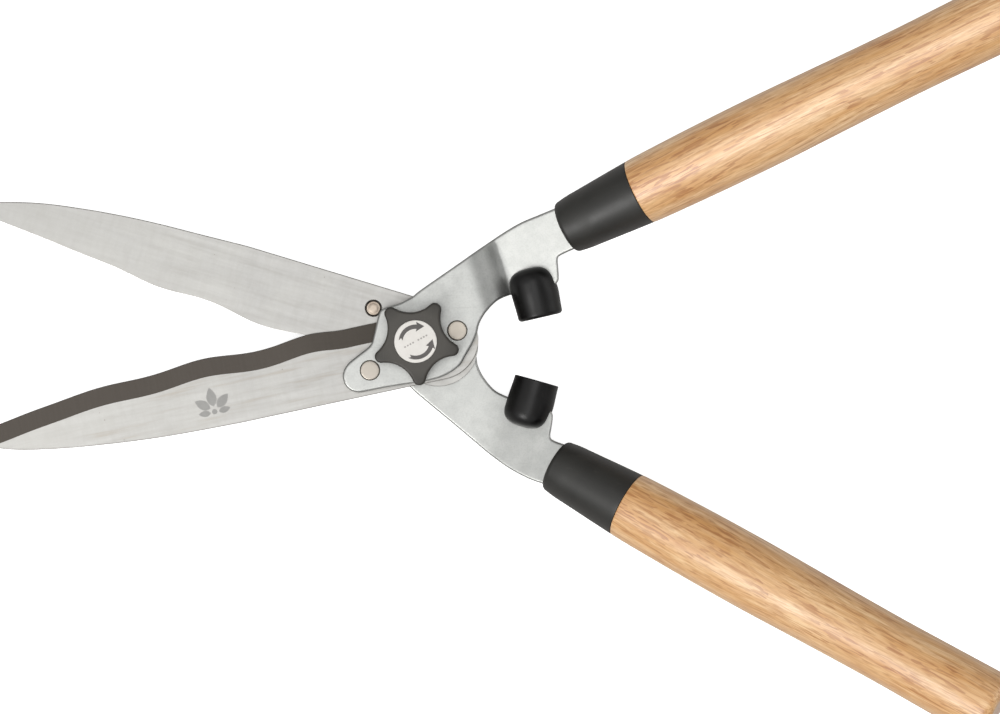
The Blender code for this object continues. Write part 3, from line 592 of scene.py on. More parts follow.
def ash_wood(name, seed, heart_x):
    """Varnished ring-porous wood: growth rings cut along the grain, pores as short dark
    dashes crowded in the early wood, and a clear coat."""
    look = Look(name)
    coords = look.place()
    # a slow wander of the grain along the handle
    wander = look.stretched(coords, scale=(10, 10, 5.0), shift=(seed, seed * 2, seed * 3),
                            detail=2.0, rough=0.5, out=1)
    centred = look.node("ShaderNodeVectorMath", {0: wander, 1: (0.5, 0.5, 0.5)},
                        operation="SUBTRACT")
    scaled = look.node("ShaderNodeVectorMath", {0: centred, "Scale": 0.013}, operation="SCALE")
    bent = look.node("ShaderNodeVectorMath", {0: coords, 1: scaled}, operation="ADD")
    # growth rings about a tilted axis beside the handle
    x, y, _ = look.parts(look.mapped(bent, shift=(heart_x, 0.031, 0.0),
                                     turn=(0.055, -0.04, 0.3 + seed)))
    radius = look.from_axis(x, y)
    uneven = look.noise(look.node("ShaderNodeCombineXYZ", {0: radius, 2: seed}), scale=90.0,
                        detail=2.0, rough=0.5)
    rings_per_metre = look.math("MULTIPLY", radius, 330.0)
    ring = look.math("FRACT", look.plus(rings_per_metre, uneven, times=2.4))
    early = look.span(ring, over=(0.0, 0.42), to=(1.0, 0.0))
    late = look.span(ring, over=(0.72, 1.0))
    fibres = look.stretched(bent, scale=(1300, 1300, 26), detail=4.0, rough=0.7)
    hairs = look.stretched(bent, scale=(1500, 1500, 105), shift=(2, 9, 4), detail=2.0, rough=0.6)
    streaks = look.stretched(bent, scale=(230, 230, 11), rough=0.62)
    patches = look.stretched(bent, scale=(85, 85, 17), rough=0.6)
    fine_pores = look.stretched(bent, scale=(1080, 1080, 105), detail=1.0, rough=0.4)
    long_pores = look.stretched(bent, scale=(820, 820, 58), shift=(7, 3, 5), detail=1.0,
                                rough=0.4)
    pore = look.math("MAXIMUM", look.span(fine_pores, over=(0.565, 0.605)),
                     look.span(long_pores, over=(0.595, 0.635)))
    crowd = look.math("MAXIMUM", look.math("MULTIPLY", early, 0.9),
                      look.span(patches, over=(0.50, 0.66)))
    pore = look.math("MULTIPLY", pore, look.plus(0.22, crowd, times=0.78))
    base = look.mix(look.span(streaks, over=(0.34, 0.66)), srgb(241, 207, 161),
                    srgb(217, 168, 108))
    base = look.tint(base, early, amount=0.50, colour=srgb(204, 150, 88))
    base = look.tint(base, late, amount=0.40, colour=srgb(212, 163, 104))
    base = look.layer(base, patches, over=(0.46, 0.66), amount=0.55, colour=srgb(200, 141, 74))
    base = look.layer(base, fibres, over=(0.46, 0.60), amount=0.46, colour=srgb(190, 132, 70))
    base = look.layer(base, hairs, over=(0.50, 0.62), amount=0.46, colour=srgb(184, 126, 66))
    base = look.tint(base, pore, amount=0.80, colour=srgb(162, 99, 44))
    base = look.tint(base, look.mark("end"), amount=0.35, colour=srgb(170, 116, 66))
    height = look.minus(look.math("MULTIPLY", fibres, 0.35), pore, times=0.9)
    varnish = look.noise(coords, scale=120.0, detail=2.0, rough=0.5)
    coat_height = look.plus(varnish, height, times=0.5)
    return look.set(colour=base, rough=look.span(fibres, to=(0.34, 0.46)), spec=0.55,
                    normal=look.bump(height, strength=0.30, distance=0.00012), coat=1.0,
                    coat_rough=look.span(varnish, to=(0.36, 0.48)),
                    coat_normal=look.bump(coat_height, strength=0.16, distance=0.0002))


def printed(name, light, dark, rough):
    """Thin print or film with an uneven coat."""
    look = Look(name)
    coords = look.place()
    clouds = look.noise(coords, scale=180.0, rough=0.6)
    fine = look.noise(coords, scale=2200.0, detail=2.0, rough=0.5)
    base = look.mix(look.span(clouds), dark, light)
    base = look.layer(base, fine, over=(0.45, 0.65), amount=0.15, colour=dark)
    return look.set(colour=base, rough=look.span(clouds, to=(rough - 0.05, rough + 0.08)),
                    normal=look.bump(fine, strength=0.12, distance=0.00004))


BLADE_STEEL = {
    "front": blade_steel("front_blade_steel", FRONT.blade_deg, warm=0.34, streaky=0.28,
                         tone=0.90),
    "rear": blade_steel("rear_blade_steel", REAR.blade_deg, warm=0.05, streaky=0.10,
                        tone=0.905),
}
ARM_STEEL = {
    "front": arm_steel("front_arm_steel", shift=(0, 0, 0), edge=0.30),
    "rear": arm_steel("rear_arm_steel", shift=(0.31, 0.17, 0.05), edge=0.16),
}
GAP_SHADE_AND_GRIME = gap_shade_and_grime()
RIVET_STEEL = {
    rivet: turned_metal(name, light=srgb(*light), dark=srgb(*dark), rough=rough)
    for rivet, name, light, dark, rough in (
        ("front_outer_rivet", "rivet_a", (179, 173, 163), (168, 161, 152), 0.42),
        ("front_inner_rivet", "rivet_b", (196, 189, 178), (182, 174, 162), 0.42),
        ("rear_outer_rivet", "rivet_c", (186, 175, 162), (156, 142, 128), 0.36),
        ("rear_inner_rivet", "rivet_d", (220, 212, 202), (204, 195, 186), 0.40),
    )
}
BOLT_STEEL = turned_metal("bolt_steel", light=srgb(206, 205, 200), dark=srgb(178, 177, 172),
                          rough=0.34)
WASHER_STEEL = turned_metal("washer_steel", light=srgb(212, 211, 206),
                            dark=srgb(186, 185, 180), rough=0.32)
SPRING_STEEL = turned_metal("spring_steel_blue", light=srgb(150, 150, 152),
                            dark=srgb(118, 118, 122), rough=0.33)
BRASS = turned_metal("insert_brass_turned", light=srgb(212, 178, 112),
                     dark=srgb(182, 146, 84), rough=0.30)
KNOB_PLASTIC = moulded("knob_grey", low=srgb(64, 61, 56), high=srgb(70, 67, 62), rough=0.46,
                       spec=0.40, grain=2400.0, scuffs=0.10, tip_shade=0.45)
FERRULE_PLASTIC = moulded("ferrule_black", low=srgb(28, 27, 24), high=srgb(35, 34, 30),
                          rough=0.46, spec=0.56, grain=2800.0, scuffs=0.06)
RUBBER = moulded("buffer_black", low=srgb(4, 3, 3), high=srgb(9, 8, 7), rough=0.36, spec=0.34,
                 grain=1900.0, scuffs=0.02)
LABEL_FILM = printed("label_white", light=srgb(222, 219, 214), dark=srgb(213, 209, 203),
                     rough=0.42)
ARROW_INK = printed("arrow_grey", light=srgb(92, 88, 86), dark=srgb(76, 72, 70), rough=0.5)
DASH_INK = printed("dash_grey", light=srgb(168, 163, 158), dark=srgb(150, 146, 142), rough=0.5)
LEAF_INK = printed("leaf_grey", light=srgb(156, 155, 152), dark=srgb(144, 143, 140), rough=0.5)
WOOD = {
    "front": ash_wood("front_handle_ash", seed=1.7, heart_x=0.012),
    "rear": ash_wood("rear_handle_ash", seed=5.3, heart_x=0.016),
}


# ---------------------------------------------------------------- mesh helpers
# One point attribute runs from 0 on open faces to 1 on edges; the materials paint shade with it.

HOLE_CHAMFER = 0.15


def object_from(name, mesh):
    obj = bpy.data.objects.new(name, mesh)
    bpy.context.scene.collection.objects.link(obj)
    return obj


def solid(name, verts, faces, marks, mat, weld=True):
    """An object from points in mm; marks holds (attribute name, domain, values)."""
    mesh = bpy.data.meshes.new(name)
    mesh.from_pydata([(v[0] * MM, v[1] * MM, v[2] * MM) for v in verts], [], faces)
    for key, domain, values in marks:
        attribute = mesh.attributes.new(key, "FLOAT", domain)
        attribute.data.foreach_set("value", list(map(float, values)))
    work = bmesh.new()
    work.from_mesh(mesh)
    if weld:
        bmesh.ops.remove_doubles(work, verts=work.verts, dist=2e-7)
        bmesh.ops.dissolve_degenerate(work, edges=work.edges, dist=1e-8)
    bmesh.ops.recalc_face_normals(work, faces=work.faces)
    work.to_mesh(mesh)
    work.free()
    mesh.materials.append(mat)
    return object_from(name, mesh)


def bands(rows, count, start=0):
    """Quads between neighbouring closed rows of count points each."""
    quads = []
    for row in range(rows - 1):
        low = start + row * count
        high = low + count
        for i in range(count):
            j = (i + 1) % count
            quads.append((low + i, low + j, high + j, high + i))
    return quads


def cut(obj, *cutters):
    """Cuts the pieces away for good, and removes the cutters."""
    for cutter in cutters:
        made = obj.modifiers.new("cut_" + cutter.name, "BOOLEAN")
        made.operation = "DIFFERENCE"
        made.solver = "EXACT"
        made.object = cutter
    bpy.context.view_layer.update()
    graph = bpy.context.evaluated_depsgraph_get()
    mesh = bpy.data.meshes.new_from_object(obj.evaluated_get(graph),
                                           preserve_all_data_layers=True, depsgraph=graph)
    obj.modifiers.clear()
    old = obj.data
    obj.data = mesh
    bpy.data.meshes.remove(old)
    for cutter in cutters:
        bpy.data.objects.remove(cutter, do_unlink=True)


def finish(obj, sharp_deg, body, node=None):
    """Smooth shading with sharp edges at steep angles and round ground faces; then the piece
    stands for a CAD node, which it hides, and rides on its body."""
    work = bmesh.new()
    work.from_mesh(obj.data)
    flag = work.faces.layers.float.get("bevel_face")
    for face in work.faces:
        face.smooth = True
    for edge in work.edges:
        faces = edge.link_faces
        sharp = len(faces) != 2 or edge.calc_face_angle(0.0) > math.radians(sharp_deg)
        if not sharp and flag and abs(faces[0][flag] - faces[1][flag]) > 0.5:
            sharp = True
        edge.smooth = not sharp
    work.to_mesh(obj.data)
    work.free()
    weighted = obj.modifiers.new("weighted_normals", "WEIGHTED_NORMAL")
    weighted.keep_sharp = True
    weighted.weight = 60
    if node:
        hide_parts(node)
    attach(obj, body)


def plate(name, outline, z_low, z_high, mat, rounds, segments, spacing, holes=(), warp=None):
    """A closed plate with rolled lower and upper edges, and holes given as (x, y, radius)."""
    outline = anticlockwise(outline)
    low_r, high_r = rounds
    # the wall: (inset, z, painted edge shade)
    profile = [(low_r * (1 - sine), z_low + low_r * (1 - cosine), sine)
               for sine, cosine in quarter(segments)]
    profile += [(high_r * (1 - cosine), z_high - high_r * (1 - sine), cosine)
                for sine, cosine in quarter(segments)]
    verts, rim = [], []
    for inset, z, mark in profile:
        verts += [(v.x, v.y, z) for v in grown(outline, -inset)]
        rim += [mark] * len(outline)
    faces = bands(len(profile), len(outline))
    for inset, z, order in ((low_r, z_low, -1), (high_r, z_high, 1)):
        loops = [grown(outline, -inset)]
        loops += [circle(x, y, radius + HOLE_CHAMFER) for x, y, radius in holes]
        points, tris = fill(loops, spacing)
        start = len(verts)
        verts += [(p.x, p.y, z) for p in points]
        rim += [0.0] * len(points)
        faces += [tuple(start + i for i in tri[::order]) for tri in tris]
    for x, y, radius in holes:
        start = len(verts)
        wall = ((radius + HOLE_CHAMFER, z_high, 0.3), (radius, z_high - HOLE_CHAMFER, 1.0),
                (radius, z_low + HOLE_CHAMFER, 1.0), (radius + HOLE_CHAMFER, z_low, 0.3))
        for ring_r, z, mark in wall:
            ring = circle(x, y, ring_r)
            verts += [(v.x, v.y, z) for v in ring]
            rim += [mark] * len(ring)
        faces += bands(len(wall), len(ring), start)
    if warp:
        verts = [warp(x, y, z) for x, y, z in verts]
    return solid(name, verts, faces, [("rim", "POINT", rim)], mat)


def turned(name, profile, steps, mat, matrix=None, closed=False, mark="rim"):
    """A profile of (radius, height) or (radius, height, mark) rows turned about +Z; a closed
    profile is a ring, an open one starts and ends on the axis."""
    verts, faces, values, rings = [], [], [], []
    for radius, z, *value in profile:
        first = len(verts)
        if radius < 1e-6:
            points = [(0.0, 0.0)]
            rings.append([first] * steps)
        else:
            points = circle(0.0, 0.0, radius, steps)
            rings.append(list(range(first, first + steps)))
        verts += [(x, y, z) for x, y in points]
        values += (value or [0.0]) * len(points)
    pairs = list(zip(rings, rings[1:])) + ([(rings[-1], rings[0])] if closed else [])
    for upper, lower in pairs:
        for i in range(steps):
            j = (i + 1) % steps
            face = tuple(dict.fromkeys((upper[i], lower[i], lower[j], upper[j])))
            if len(face) > 2:
                faces.append(face)
    marks = {"rim": [0.0] * len(verts)}
    marks[mark] = values
    obj = solid(name, verts, faces, [(key, "POINT", marks[key]) for key in marks], mat)
    if matrix is not None:
        obj.matrix_world = matrix
    return obj


def place_on(origin, direction):
    turn = Vector(direction).normalized().to_track_quat("Z", "Y").to_matrix().to_4x4()
    return Matrix.Translation(Vector(origin) * MM) @ turn


def shift_to(place):
    return Matrix.Translation((place[0] * MM, place[1] * MM, 0))


def flipped(profile):
    """A profile mirrored in the shear plane, for the rear half."""
    return [(radius, 2 * SHEAR_Z - z, *mark) for radius, z, *mark in profile][::-1]


# ---------------------------------------------------------------- blades

def blade_stations(half):
    """(reach, across at the back, across at the cutting edge), from the heel to the tip."""

    def cut_at(reach):
        phase = math.tau * (reach - half.wave_crest) / WAVE_PITCH
        return value_at(half.base, reach) + value_at(half.wave, reach) * math.cos(phase)

    def heel_half(reach):
        return math.sqrt(max(HEEL_R ** 2 - (reach - HEEL_REACH) ** 2, 0.0))

    stations = []
    for k in range(29):
        reach = HEEL_REACH - HEEL_R * math.cos(math.radians(8 + 82 * k / 28))
        stations.append((reach, HEEL_ACROSS - heel_half(reach), HEEL_ACROSS + heel_half(reach)))
    for k in range(1, 13):
        reach = HEEL_REACH + (CHOIL_REACH - HEEL_REACH) * k / 12
        stations.append((reach, BACK_ACROSS, HEEL_ACROSS + heel_half(reach)))
    reaches = [4.0]
    while reaches[-1] + 1.25 < BLADE_L - 8:
        reaches.append(reaches[-1] + 1.25)
    for reach in (*reaches, *TIP_REACHES):
        stations.append((reach, value_at(half.back, reach), cut_at(reach)))
    return stations


def blade_section(reach, back, edge_at):
    """The blade's closed section: (across, depth from its flat shear face, painted edge shade)."""
    ground = min(max((reach - 2.0) / 14.0, 0.0), 1.0)
    ground = ground * ground * (3 - 2 * ground)
    whole = edge_at - back
    bevel = min(BEVEL_HEEL_W + (BEVEL_W - BEVEL_HEEL_W) * ground, 0.86 * whole)
    edge = BLADE_T + (EDGE_T - BLADE_T) * ground
    chamfer = min(0.35, 0.2 * whole)
    soft = min(0.3, edge * 0.4)
    inset = min(0.5, 0.2 * whole)
    flat = edge_at - bevel - back
    return (
        (back + chamfer, 0.0, 0.25),
        (back + 0.3 * chamfer, 0.3 * chamfer, 1.0),
        (back, chamfer, 1.0),
        (back, BLADE_T - chamfer, 1.0),
        (back + 0.3 * chamfer, BLADE_T - 0.3 * chamfer, 1.0),
        (back + chamfer, BLADE_T, 0.25),
        (back + chamfer + min(0.5, 0.3 * (flat - chamfer)), BLADE_T, 0.0),
        (edge_at - bevel, BLADE_T, 0.0),
        (edge_at - soft, edge + (BLADE_T - edge) * soft / bevel, 0.0),
        (edge_at, edge - soft * 0.5, 0.6),
        (edge_at, 0.1 * edge, 0.6),
        (edge_at - 0.15, 0.0, 0.2),
        (edge_at - 0.15 - inset, 0.0, 0.0),
        (back + chamfer + inset, 0.0, 0.0),
    )


def blade_leaf(half):
    axis = polar(1.0, half.blade_deg)
    side = Vector((-axis.y, axis.x)) * -half.sign
    sections = [(row[0], blade_section(*row)) for row in blade_stations(half)]
    verts, rim = [], []
    for reach, section in sections:
        for across, depth, mark in section:
            spot = axis * reach + side * across
            verts.append((spot.x, spot.y, half.blade_flat_z + half.sign * depth))
            rim.append(mark)
    rows, count = len(sections), len(sections[0][1])
    faces = bands(rows, count)
    # the quads that start at section points 7 and 8 form the ground bevel
    flags = [1.0 if k % count in (7, 8) else 0.0 for k in range(len(faces))] + [0.0, 0.0]
    faces.append(tuple(range(count))[::-1])
    faces.append(tuple((rows - 1) * count + i for i in range(count)))
    corners = [flag for flag, face in zip(flags, faces) for _ in face]
    marks = [("rim", "POINT", rim), ("bevel_face", "FACE", flags), ("ground", "CORNER", corners)]
    return solid(half.name + "_blade_steel_leaf", verts, faces, marks, BLADE_STEEL[half.name],
                 weld=False)


def bore(name, place, profile):
    """A round cutter whose walls leave the gap material, painted shade and residue, behind."""
    obj = turned(name, profile, 48, GAP_SHADE_AND_GRIME)
    obj.data.transform(shift_to(place))
    return obj


def blade(half):
    """A blade with its pivot hole and two rivet holes, countersunk in the shear face."""
    leaf_plate = blade_leaf(half)
    low = FRONT_BLADE_Z
    pivot = [(0, 24), (PIVOT_HOLE_R, 24), (PIVOT_HOLE_R, -2), (0, -2)]
    rivet_hole = [(0, low + 5), (3.3, low + 5), (3.3, low + 1.42), (4.35, low + 0.12),
                  (4.5, low - 0.5), (0, low - 0.5)]
    if half is REAR:
        rivet_hole = flipped(rivet_hole)
    cut(leaf_plate,
        bore(half.name + "_blade_bore", (0, 0), pivot),
        bore(half.name + "_bore_a", half.rivets["outer"], rivet_hole),
        bore(half.name + "_bore_b", half.rivets["inner"], rivet_hole))
    finish(leaf_plate, 12, half.name + "_half", half.name + "_blade")


for half in HALVES:
    blade(half)


# ---------------------------------------------------------------- arms

def height_along(bends, distance):
    height = 0.0
    for (start, slope_in), (end, slope_out) in zip(bends, bends[1:]):
        if distance <= start:
            break
        part = min(distance, end) - start
        slope = slope_in + (slope_out - slope_in) * part / (end - start)
        height += part * (slope_in + slope) / 2
    if distance > bends[-1][0]:
        height += (distance - bends[-1][0]) * bends[-1][1]
    return height


def slope_along(bends, distance):
    if distance <= bends[0][0]:
        return 0.0
    for (start, slope_in), (end, slope_out) in zip(bends, bends[1:]):
        if distance <= end:
            return slope_in + (slope_out - slope_in) * (distance - start) / (end - start)
    return bends[-1][1]


def arm_outline(half, steps=7):
    start = Vector(half.handle_start)
    along = polar(1.0, half.handle_deg)
    across = Vector((-along.y, along.x)) * half.sign
    face = Vector(half.bumper_face)
    lug = polar(1.0, half.bumper_deg)
    lug_side = Vector((-lug.y, lug.x)) * half.sign

    def sided(points):
        return [mirrored(p) for p in points] if half is REAR else list(points)

    def on_handle(forward, sideways):
        return start + along * forward + across * sideways

    def on_lug(back, sideways):
        return face - lug * back + lug_side * sideways

    shoulder = SHOULDER_W / 2
    tang = TANG_W / 2
    outer = flowing([on_handle(-0.2, shoulder)] + sided(ARM_OUTLINE), steps)
    tongue = [on_lug(back, sideways) for back, sideways in (
        (LUG_ROOT, -LUG_HALF_W), (LUG_END + LUG_CORNER, -LUG_HALF_W),
        (LUG_END, -LUG_HALF_W + LUG_CORNER), (LUG_END, LUG_HALF_W - LUG_CORNER),
        (LUG_END + LUG_CORNER, LUG_HALF_W), (LUG_ROOT, LUG_HALF_W))]
    ear = flowing(sided(ARM_EAR) + [on_handle(-0.2, -shoulder)], steps)
    handle_tang = [on_handle(forward, sideways) for forward, sideways in (
        (0.6, -shoulder + 1.5), (3.0, -tang), (TANG_L, -tang + 0.4),
        (TANG_L, tang - 0.4), (3.0, tang), (0.6, shoulder - 1.5))]
    return anticlockwise(outer + tongue + ear + handle_tang)


def arm(half):
    normal = polar(1.0, half.bend_deg)
    z_low, z_high = half.arm_z, half.arm_z + ARM_T
    middle = (z_low + z_high) / 2

    def fold(x, y, z):
        distance = normal.x * x + normal.y * y
        lean = math.cos(math.atan(slope_along(half.bends, distance)))
        return (x, y, middle + (z - middle) / lean + height_along(half.bends, distance))

    holes = [(x, y, RIVET_HEAD_R + 0.05) for x, y in half.rivets.values()]
    holes.append((0, 0, half.arm_hole_r))
    obj = plate(half.name + "_arm_plate", arm_outline(half), z_low, z_high,
                ARM_STEEL[half.name], rounds=(0.5, 1.25), segments=7, spacing=2.2, holes=holes,
                warp=fold)
    finish(obj, 40, half.name + "_half", half.name + "_arm")


for half in HALVES:
    arm(half)


# ---------------------------------------------------------------- rivets and bolt

def rivet(half, which):
    """A flat head sunk in the arm, a shank, and a dished tail in the blade's shear face."""
    name = half.name + "_" + which + "_rivet"
    top = ARM_TOP - 0.05
    seat = ARM_TOP - 3.2
    tail = FRONT_BLADE_Z + 0.1
    head = RIVET_HEAD_R
    profile = [(0, top, 0), (head * 0.6, top - 0.01, 0), (head - 0.75, top - 0.04, 0),
               (head - 0.38, top - 0.12, 0.3), (head - 0.12, top - 0.3, 0.7),
               (head, top - 0.6, 1), (head, seat, 1), (3.0, seat, 1),
               (3.0, FRONT_BLADE_Z + 1.45, 1), (3.35, FRONT_BLADE_Z + 0.7, 1),
               (3.42, tail + 0.28, 1), (3.3, tail + 0.10, 0.7), (3.05, tail + 0.05, 0.15),
               (2.42, tail + 0.10, 0.75), (2.2, tail + 0.02, 0.2), (1.2, tail, 0), (0, tail, 0)]
    if half is REAR:
        profile = flipped(profile)
    obj = turned(name + "_steel", profile, 56, RIVET_STEEL[name], shift_to(half.rivets[which]))
    finish(obj, 38, half.name + "_half", name)


def bolt():
    """A low round head with a softly dished face, and a threaded shank."""
    profile = [(0, BOLT_TOP, 0), (BOLT_R - 1.0, BOLT_TOP, 0),
               (BOLT_R - 0.25, BOLT_TOP - 0.7, 0.5)]
    z = BOLT_TOP - 1.0
    while z > THREAD_END:
        profile += [(BOLT_R, z, 0), (BOLT_R, z - 0.16, 0), (BOLT_R - 0.5, z - 0.62, 0.8),
                    (BOLT_R - 0.5, z - 0.78, 0.8)]
        z -= THREAD_PITCH
    head = BOLT_HEAD_R
    profile += [(BOLT_R, HEAD_T + 0.01, 0), (head - 0.9, HEAD_T, 0.2),
                (head - 0.35, HEAD_T - 0.12, 0.6), (head - 0.08, HEAD_T - 0.45, 0.8),
                (head, HEAD_T - 0.9, 0.4), (head - 0.05, HEAD_T - 1.6, 0.1),
                (head - 0.5, HEAD_T - 2.5, 0), (head - 1.4, 1.15, 0), (head - 2.6, 0.5, 0),
                (head - 4.0, 0.08, 0), (head - 4.6, 0.0, 0.1), (6.2, 0.02, 0.3),
                (5.9, 0.12, 0.6), (5.6, 0.25, 0.3), (3.0, 0.3, 0), (0, 0.3, 0)]
    obj = turned("pivot_bolt_steel", profile, 72, BOLT_STEEL)
    finish(obj, 35, "rear_half", "pivot_bolt")


def bolt_neck():
    """The square neck between the bolt's head and its shank."""
    half_w = NECK_W / 2
    corners = [Vector((x * half_w, y * half_w)) for x, y in ((-1, -1), (1, -1), (1, 1), (-1, 1))]
    obj = plate("pivot_bolt_neck", corners, HEAD_T - 0.2, REAR_ARM_Z + ARM_T, BOLT_STEEL,
                rounds=(0.1, 0.35), segments=3, spacing=3.0)
    finish(obj, 35, "rear_half")


for half in HALVES:
    for which in half.rivets:
        rivet(half, which)
bolt()
bolt_neck()


# ---------------------------------------------------------------- washers

def wave_washer():
    inner, outer = SPRING_R
    middle = (SPRING_Z[0] + SPRING_Z[1]) / 2
    profile = [(inner + 0.08, middle + 0.25, 0.2), (outer - 0.1, middle + 0.25, 0.2),
               (outer, middle + 0.15, 1), (outer, middle - 0.15, 1),
               (outer - 0.1, middle - 0.25, 0.2), (inner + 0.08, middle - 0.25, 0.2),
               (inner, middle - 0.15, 1), (inner, middle + 0.15, 1)]
    obj = turned("wave_spring_washer_steel", profile, 120, SPRING_STEEL, closed=True)
    swing = (SPRING_Z[1] - SPRING_Z[0]) / 2 - 0.28
    for vert in obj.data.vertices:
        vert.co.z += swing * math.cos(3 * math.atan2(vert.co.y, vert.co.x)) * MM
    finish(obj, 40, "front_half", "wave_spring_washer")


def thrust_washer():
    low, high = WASHER_Z
    inner, outer = WASHER_R
    profile = [(inner + 0.15, high, 0.1), (outer - 0.35, high, 0.1), (outer - 0.1, high - 0.1, 0.5),
               (outer, high - 0.35, 1), (outer, low + 0.12, 1), (outer - 0.12, low, 0.3),
               (inner + 0.1, low, 0.1), (inner, low + 0.1, 1), (inner, high - 0.15, 1)]
    obj = turned("thrust_washer_steel", profile, 96, WASHER_STEEL, closed=True)
    finish(obj, 38, "washer", "thrust_washer")


wave_washer()
thrust_washer()


# ---------------------------------------------------------------- tension knob

def star_outline(per_arc=18):
    """Round lobe tips joined by round hollows that meet them in line."""
    tip = KNOB_TIP_R - KNOB_TIP_ROUND
    half_turn = math.pi / KNOB_LOBES
    hollow = ((tip ** 2 + KNOB_VALLEY_R ** 2 - 2 * tip * KNOB_VALLEY_R * math.cos(half_turn)
               - KNOB_TIP_ROUND ** 2)
              / (2 * KNOB_TIP_ROUND - 2 * KNOB_VALLEY_R + 2 * tip * math.cos(half_turn)))
    reach = KNOB_VALLEY_R + hollow
    centre = Vector((reach * math.cos(half_turn), reach * math.sin(half_turn)))
    to_hollow = (centre - Vector((tip, 0))).normalized()
    tip_end = math.atan2(to_hollow.y, to_hollow.x)
    spread = (math.pi + tip_end) - (math.pi + half_turn)
    outline = []
    for lobe in range(KNOB_LOBES):
        turn = Matrix.Rotation(math.radians(KNOB_TURN_DEG) + 2 * half_turn * lobe, 2)
        for k in range(per_arc + 1):
            angle = -tip_end + 2 * tip_end * k / per_arc
            outline.append(turn @ Vector((tip + KNOB_TIP_ROUND * math.cos(angle),
                                          KNOB_TIP_ROUND * math.sin(angle))))
        for k in range(1, per_arc + 1):
            angle = half_turn + math.pi + spread * (1 - 2 * k / (per_arc + 1))
            outline.append(turn @ (centre + Vector((hollow * math.cos(angle),
                                                    hollow * math.sin(angle)))))
    return outline


def knob():
    """The star knob, hollow below for the brass insert and recessed above for the label."""
    low, high = KNOB_Z

    def droop(x, y, z):
        if z > (low + high) / 2:
            z -= 0.45 * max((math.hypot(x, y) - 11.2) / 10.6, 0.0) ** 2
        return (x, y, z)

    obj = plate("tension_knob_body", star_outline(), low, high, KNOB_PLASTIC,
                rounds=(0.6, 1.25), segments=6, spacing=2.4, warp=droop)
    room_r, room_top = INSERT_R + GAP, INSERT_Z[1] + GAP
    recess = high - LABEL_RECESS
    cut(obj,
        turned("insert_room", [(0, room_top), (room_r, room_top), (room_r, low - 2),
                               (0, low - 2)], 64, KNOB_PLASTIC),
        turned("label_room", [(0, high + 2), (LABEL_R + 0.2, high + 2),
                              (LABEL_R + 0.12, recess), (0, recess)], 96, KNOB_PLASTIC))
    finish(obj, 36, "knob", "tension_knob")


def knob_insert():
    """A brass bush with one groove round it."""
    low, high = INSERT_Z
    bore_r = BOLT_R + GAP
    profile = [(bore_r + 0.1, high), (INSERT_R - 0.5, high), (INSERT_R, high - 0.5),
               (INSERT_R, low + 2.4), (INSERT_R - 0.8, low + 2.0), (INSERT_R - 0.8, low + 1.4),
               (INSERT_R, low + 1.0), (INSERT_R, low + 0.15), (INSERT_R - 0.15, low),
               (bore_r + 0.3, low), (bore_r, low + 0.3), (bore_r, high - 0.1)]
    obj = turned("knob_insert_brass", profile, 72, BRASS, closed=True)
    finish(obj, 30, "knob", "knob_insert")


def knob_label():
    top = LABEL_TOP
    profile = [(0, top), (LABEL_R - 0.45, top), (LABEL_R - 0.18, top - 0.05),
               (LABEL_R - 0.03, top - 0.18), (LABEL_R, top - 0.3), (LABEL_R, LABEL_Z),
               (0, LABEL_Z)]
    obj = turned("knob_label_disc", profile, 120, LABEL_FILM)
    finish(obj, 38, "knob", "knob_label")


def ink(name, outline, z, mat, body, thick):
    """Ink as a very thin closed plate, partly sunk into the surface it is printed on."""
    obj = plate(name, outline, z - 0.03, z + thick, mat, rounds=(0.004, 0.012), segments=1,
                spacing=1.6)
    finish(obj, 40, body)


def curved_arrow(radius, start, end, width, head_half, tip, notch):
    """An arrow bent round the label's centre from start to end degrees, with a swallow tail."""
    sweep = 1.0 if end > start else -1.0
    outer, inner = [], []
    for k in range(25):
        angle = start + (end - start) * k / 24
        wide = width * (0.86 + 0.14 * k / 24)
        outer.append(polar(radius + wide / 2, angle))
        inner.append(polar(radius - wide / 2, angle))
    barb = end - 2.5 * sweep
    head = [polar(radius + head_half, barb), Vector(tip), polar(radius - head_half, barb)]
    tail = [polar(radius, start + notch * sweep)]
    return anticlockwise(outer + head + inner[::-1] + tail)


def label_arrows():
    arrows = {
        "label_arrow_a": curved_arrow(radius=7.35, start=176, end=86, width=2.2,
                                      head_half=2.45, tip=(4.3, 7.6), notch=9),
        "label_arrow_b": curved_arrow(radius=7.95, start=246, end=341, width=2.15,
                                      head_half=2.45, tip=(8.4, 1.2), notch=8),
    }
    for name, outline in arrows.items():
        ink(name, outline, LABEL_TOP, ARROW_INK, "knob", thick=0.045)


def label_dashes():
    """A dashed line across the label, open in the middle."""
    line = polar(1.0, 28.5)
    centre = Vector((0.1, 0.15))
    along = line * 0.42
    across = Vector((-line.y, line.x)) * 0.38
    for k in (0, 1, 2, 3, 5, 6, 7, 8):
        middle = line * (-6.0 + 1.5 * k) + centre
        outline = [middle - along - across, middle + along - across,
                   middle + along + across, middle - along + across]
        ink("label_dash_%d" % k, outline, LABEL_TOP, DASH_INK, "knob", thick=0.03)


knob()
knob_insert()
knob_label()
label_arrows()
label_dashes()


# ---------------------------------------------------------------- leaf mark on the front blade

MARK_PLACE = Vector((-101.7, -30.15))
MARK_DEG = FRONT.blade_deg - 180.0
# Each leaf in the mark's own frame: (root x, root y, direction in degrees, length, half width)
MARK_LEAVES = ((-0.2, -2.2, 92, 9.6, 2.5), (-2.0, -3.0, 143, 8.6, 2.3),
               (1.6, -3.0, 41, 8.6, 2.3), (-2.3, -5.2, 176, 6.0, 1.6), (2.0, -5.2, 8, 6.0, 1.6))
MARK_DOT = (-0.2, -4.9)
MARK_DOT_R = 1.35


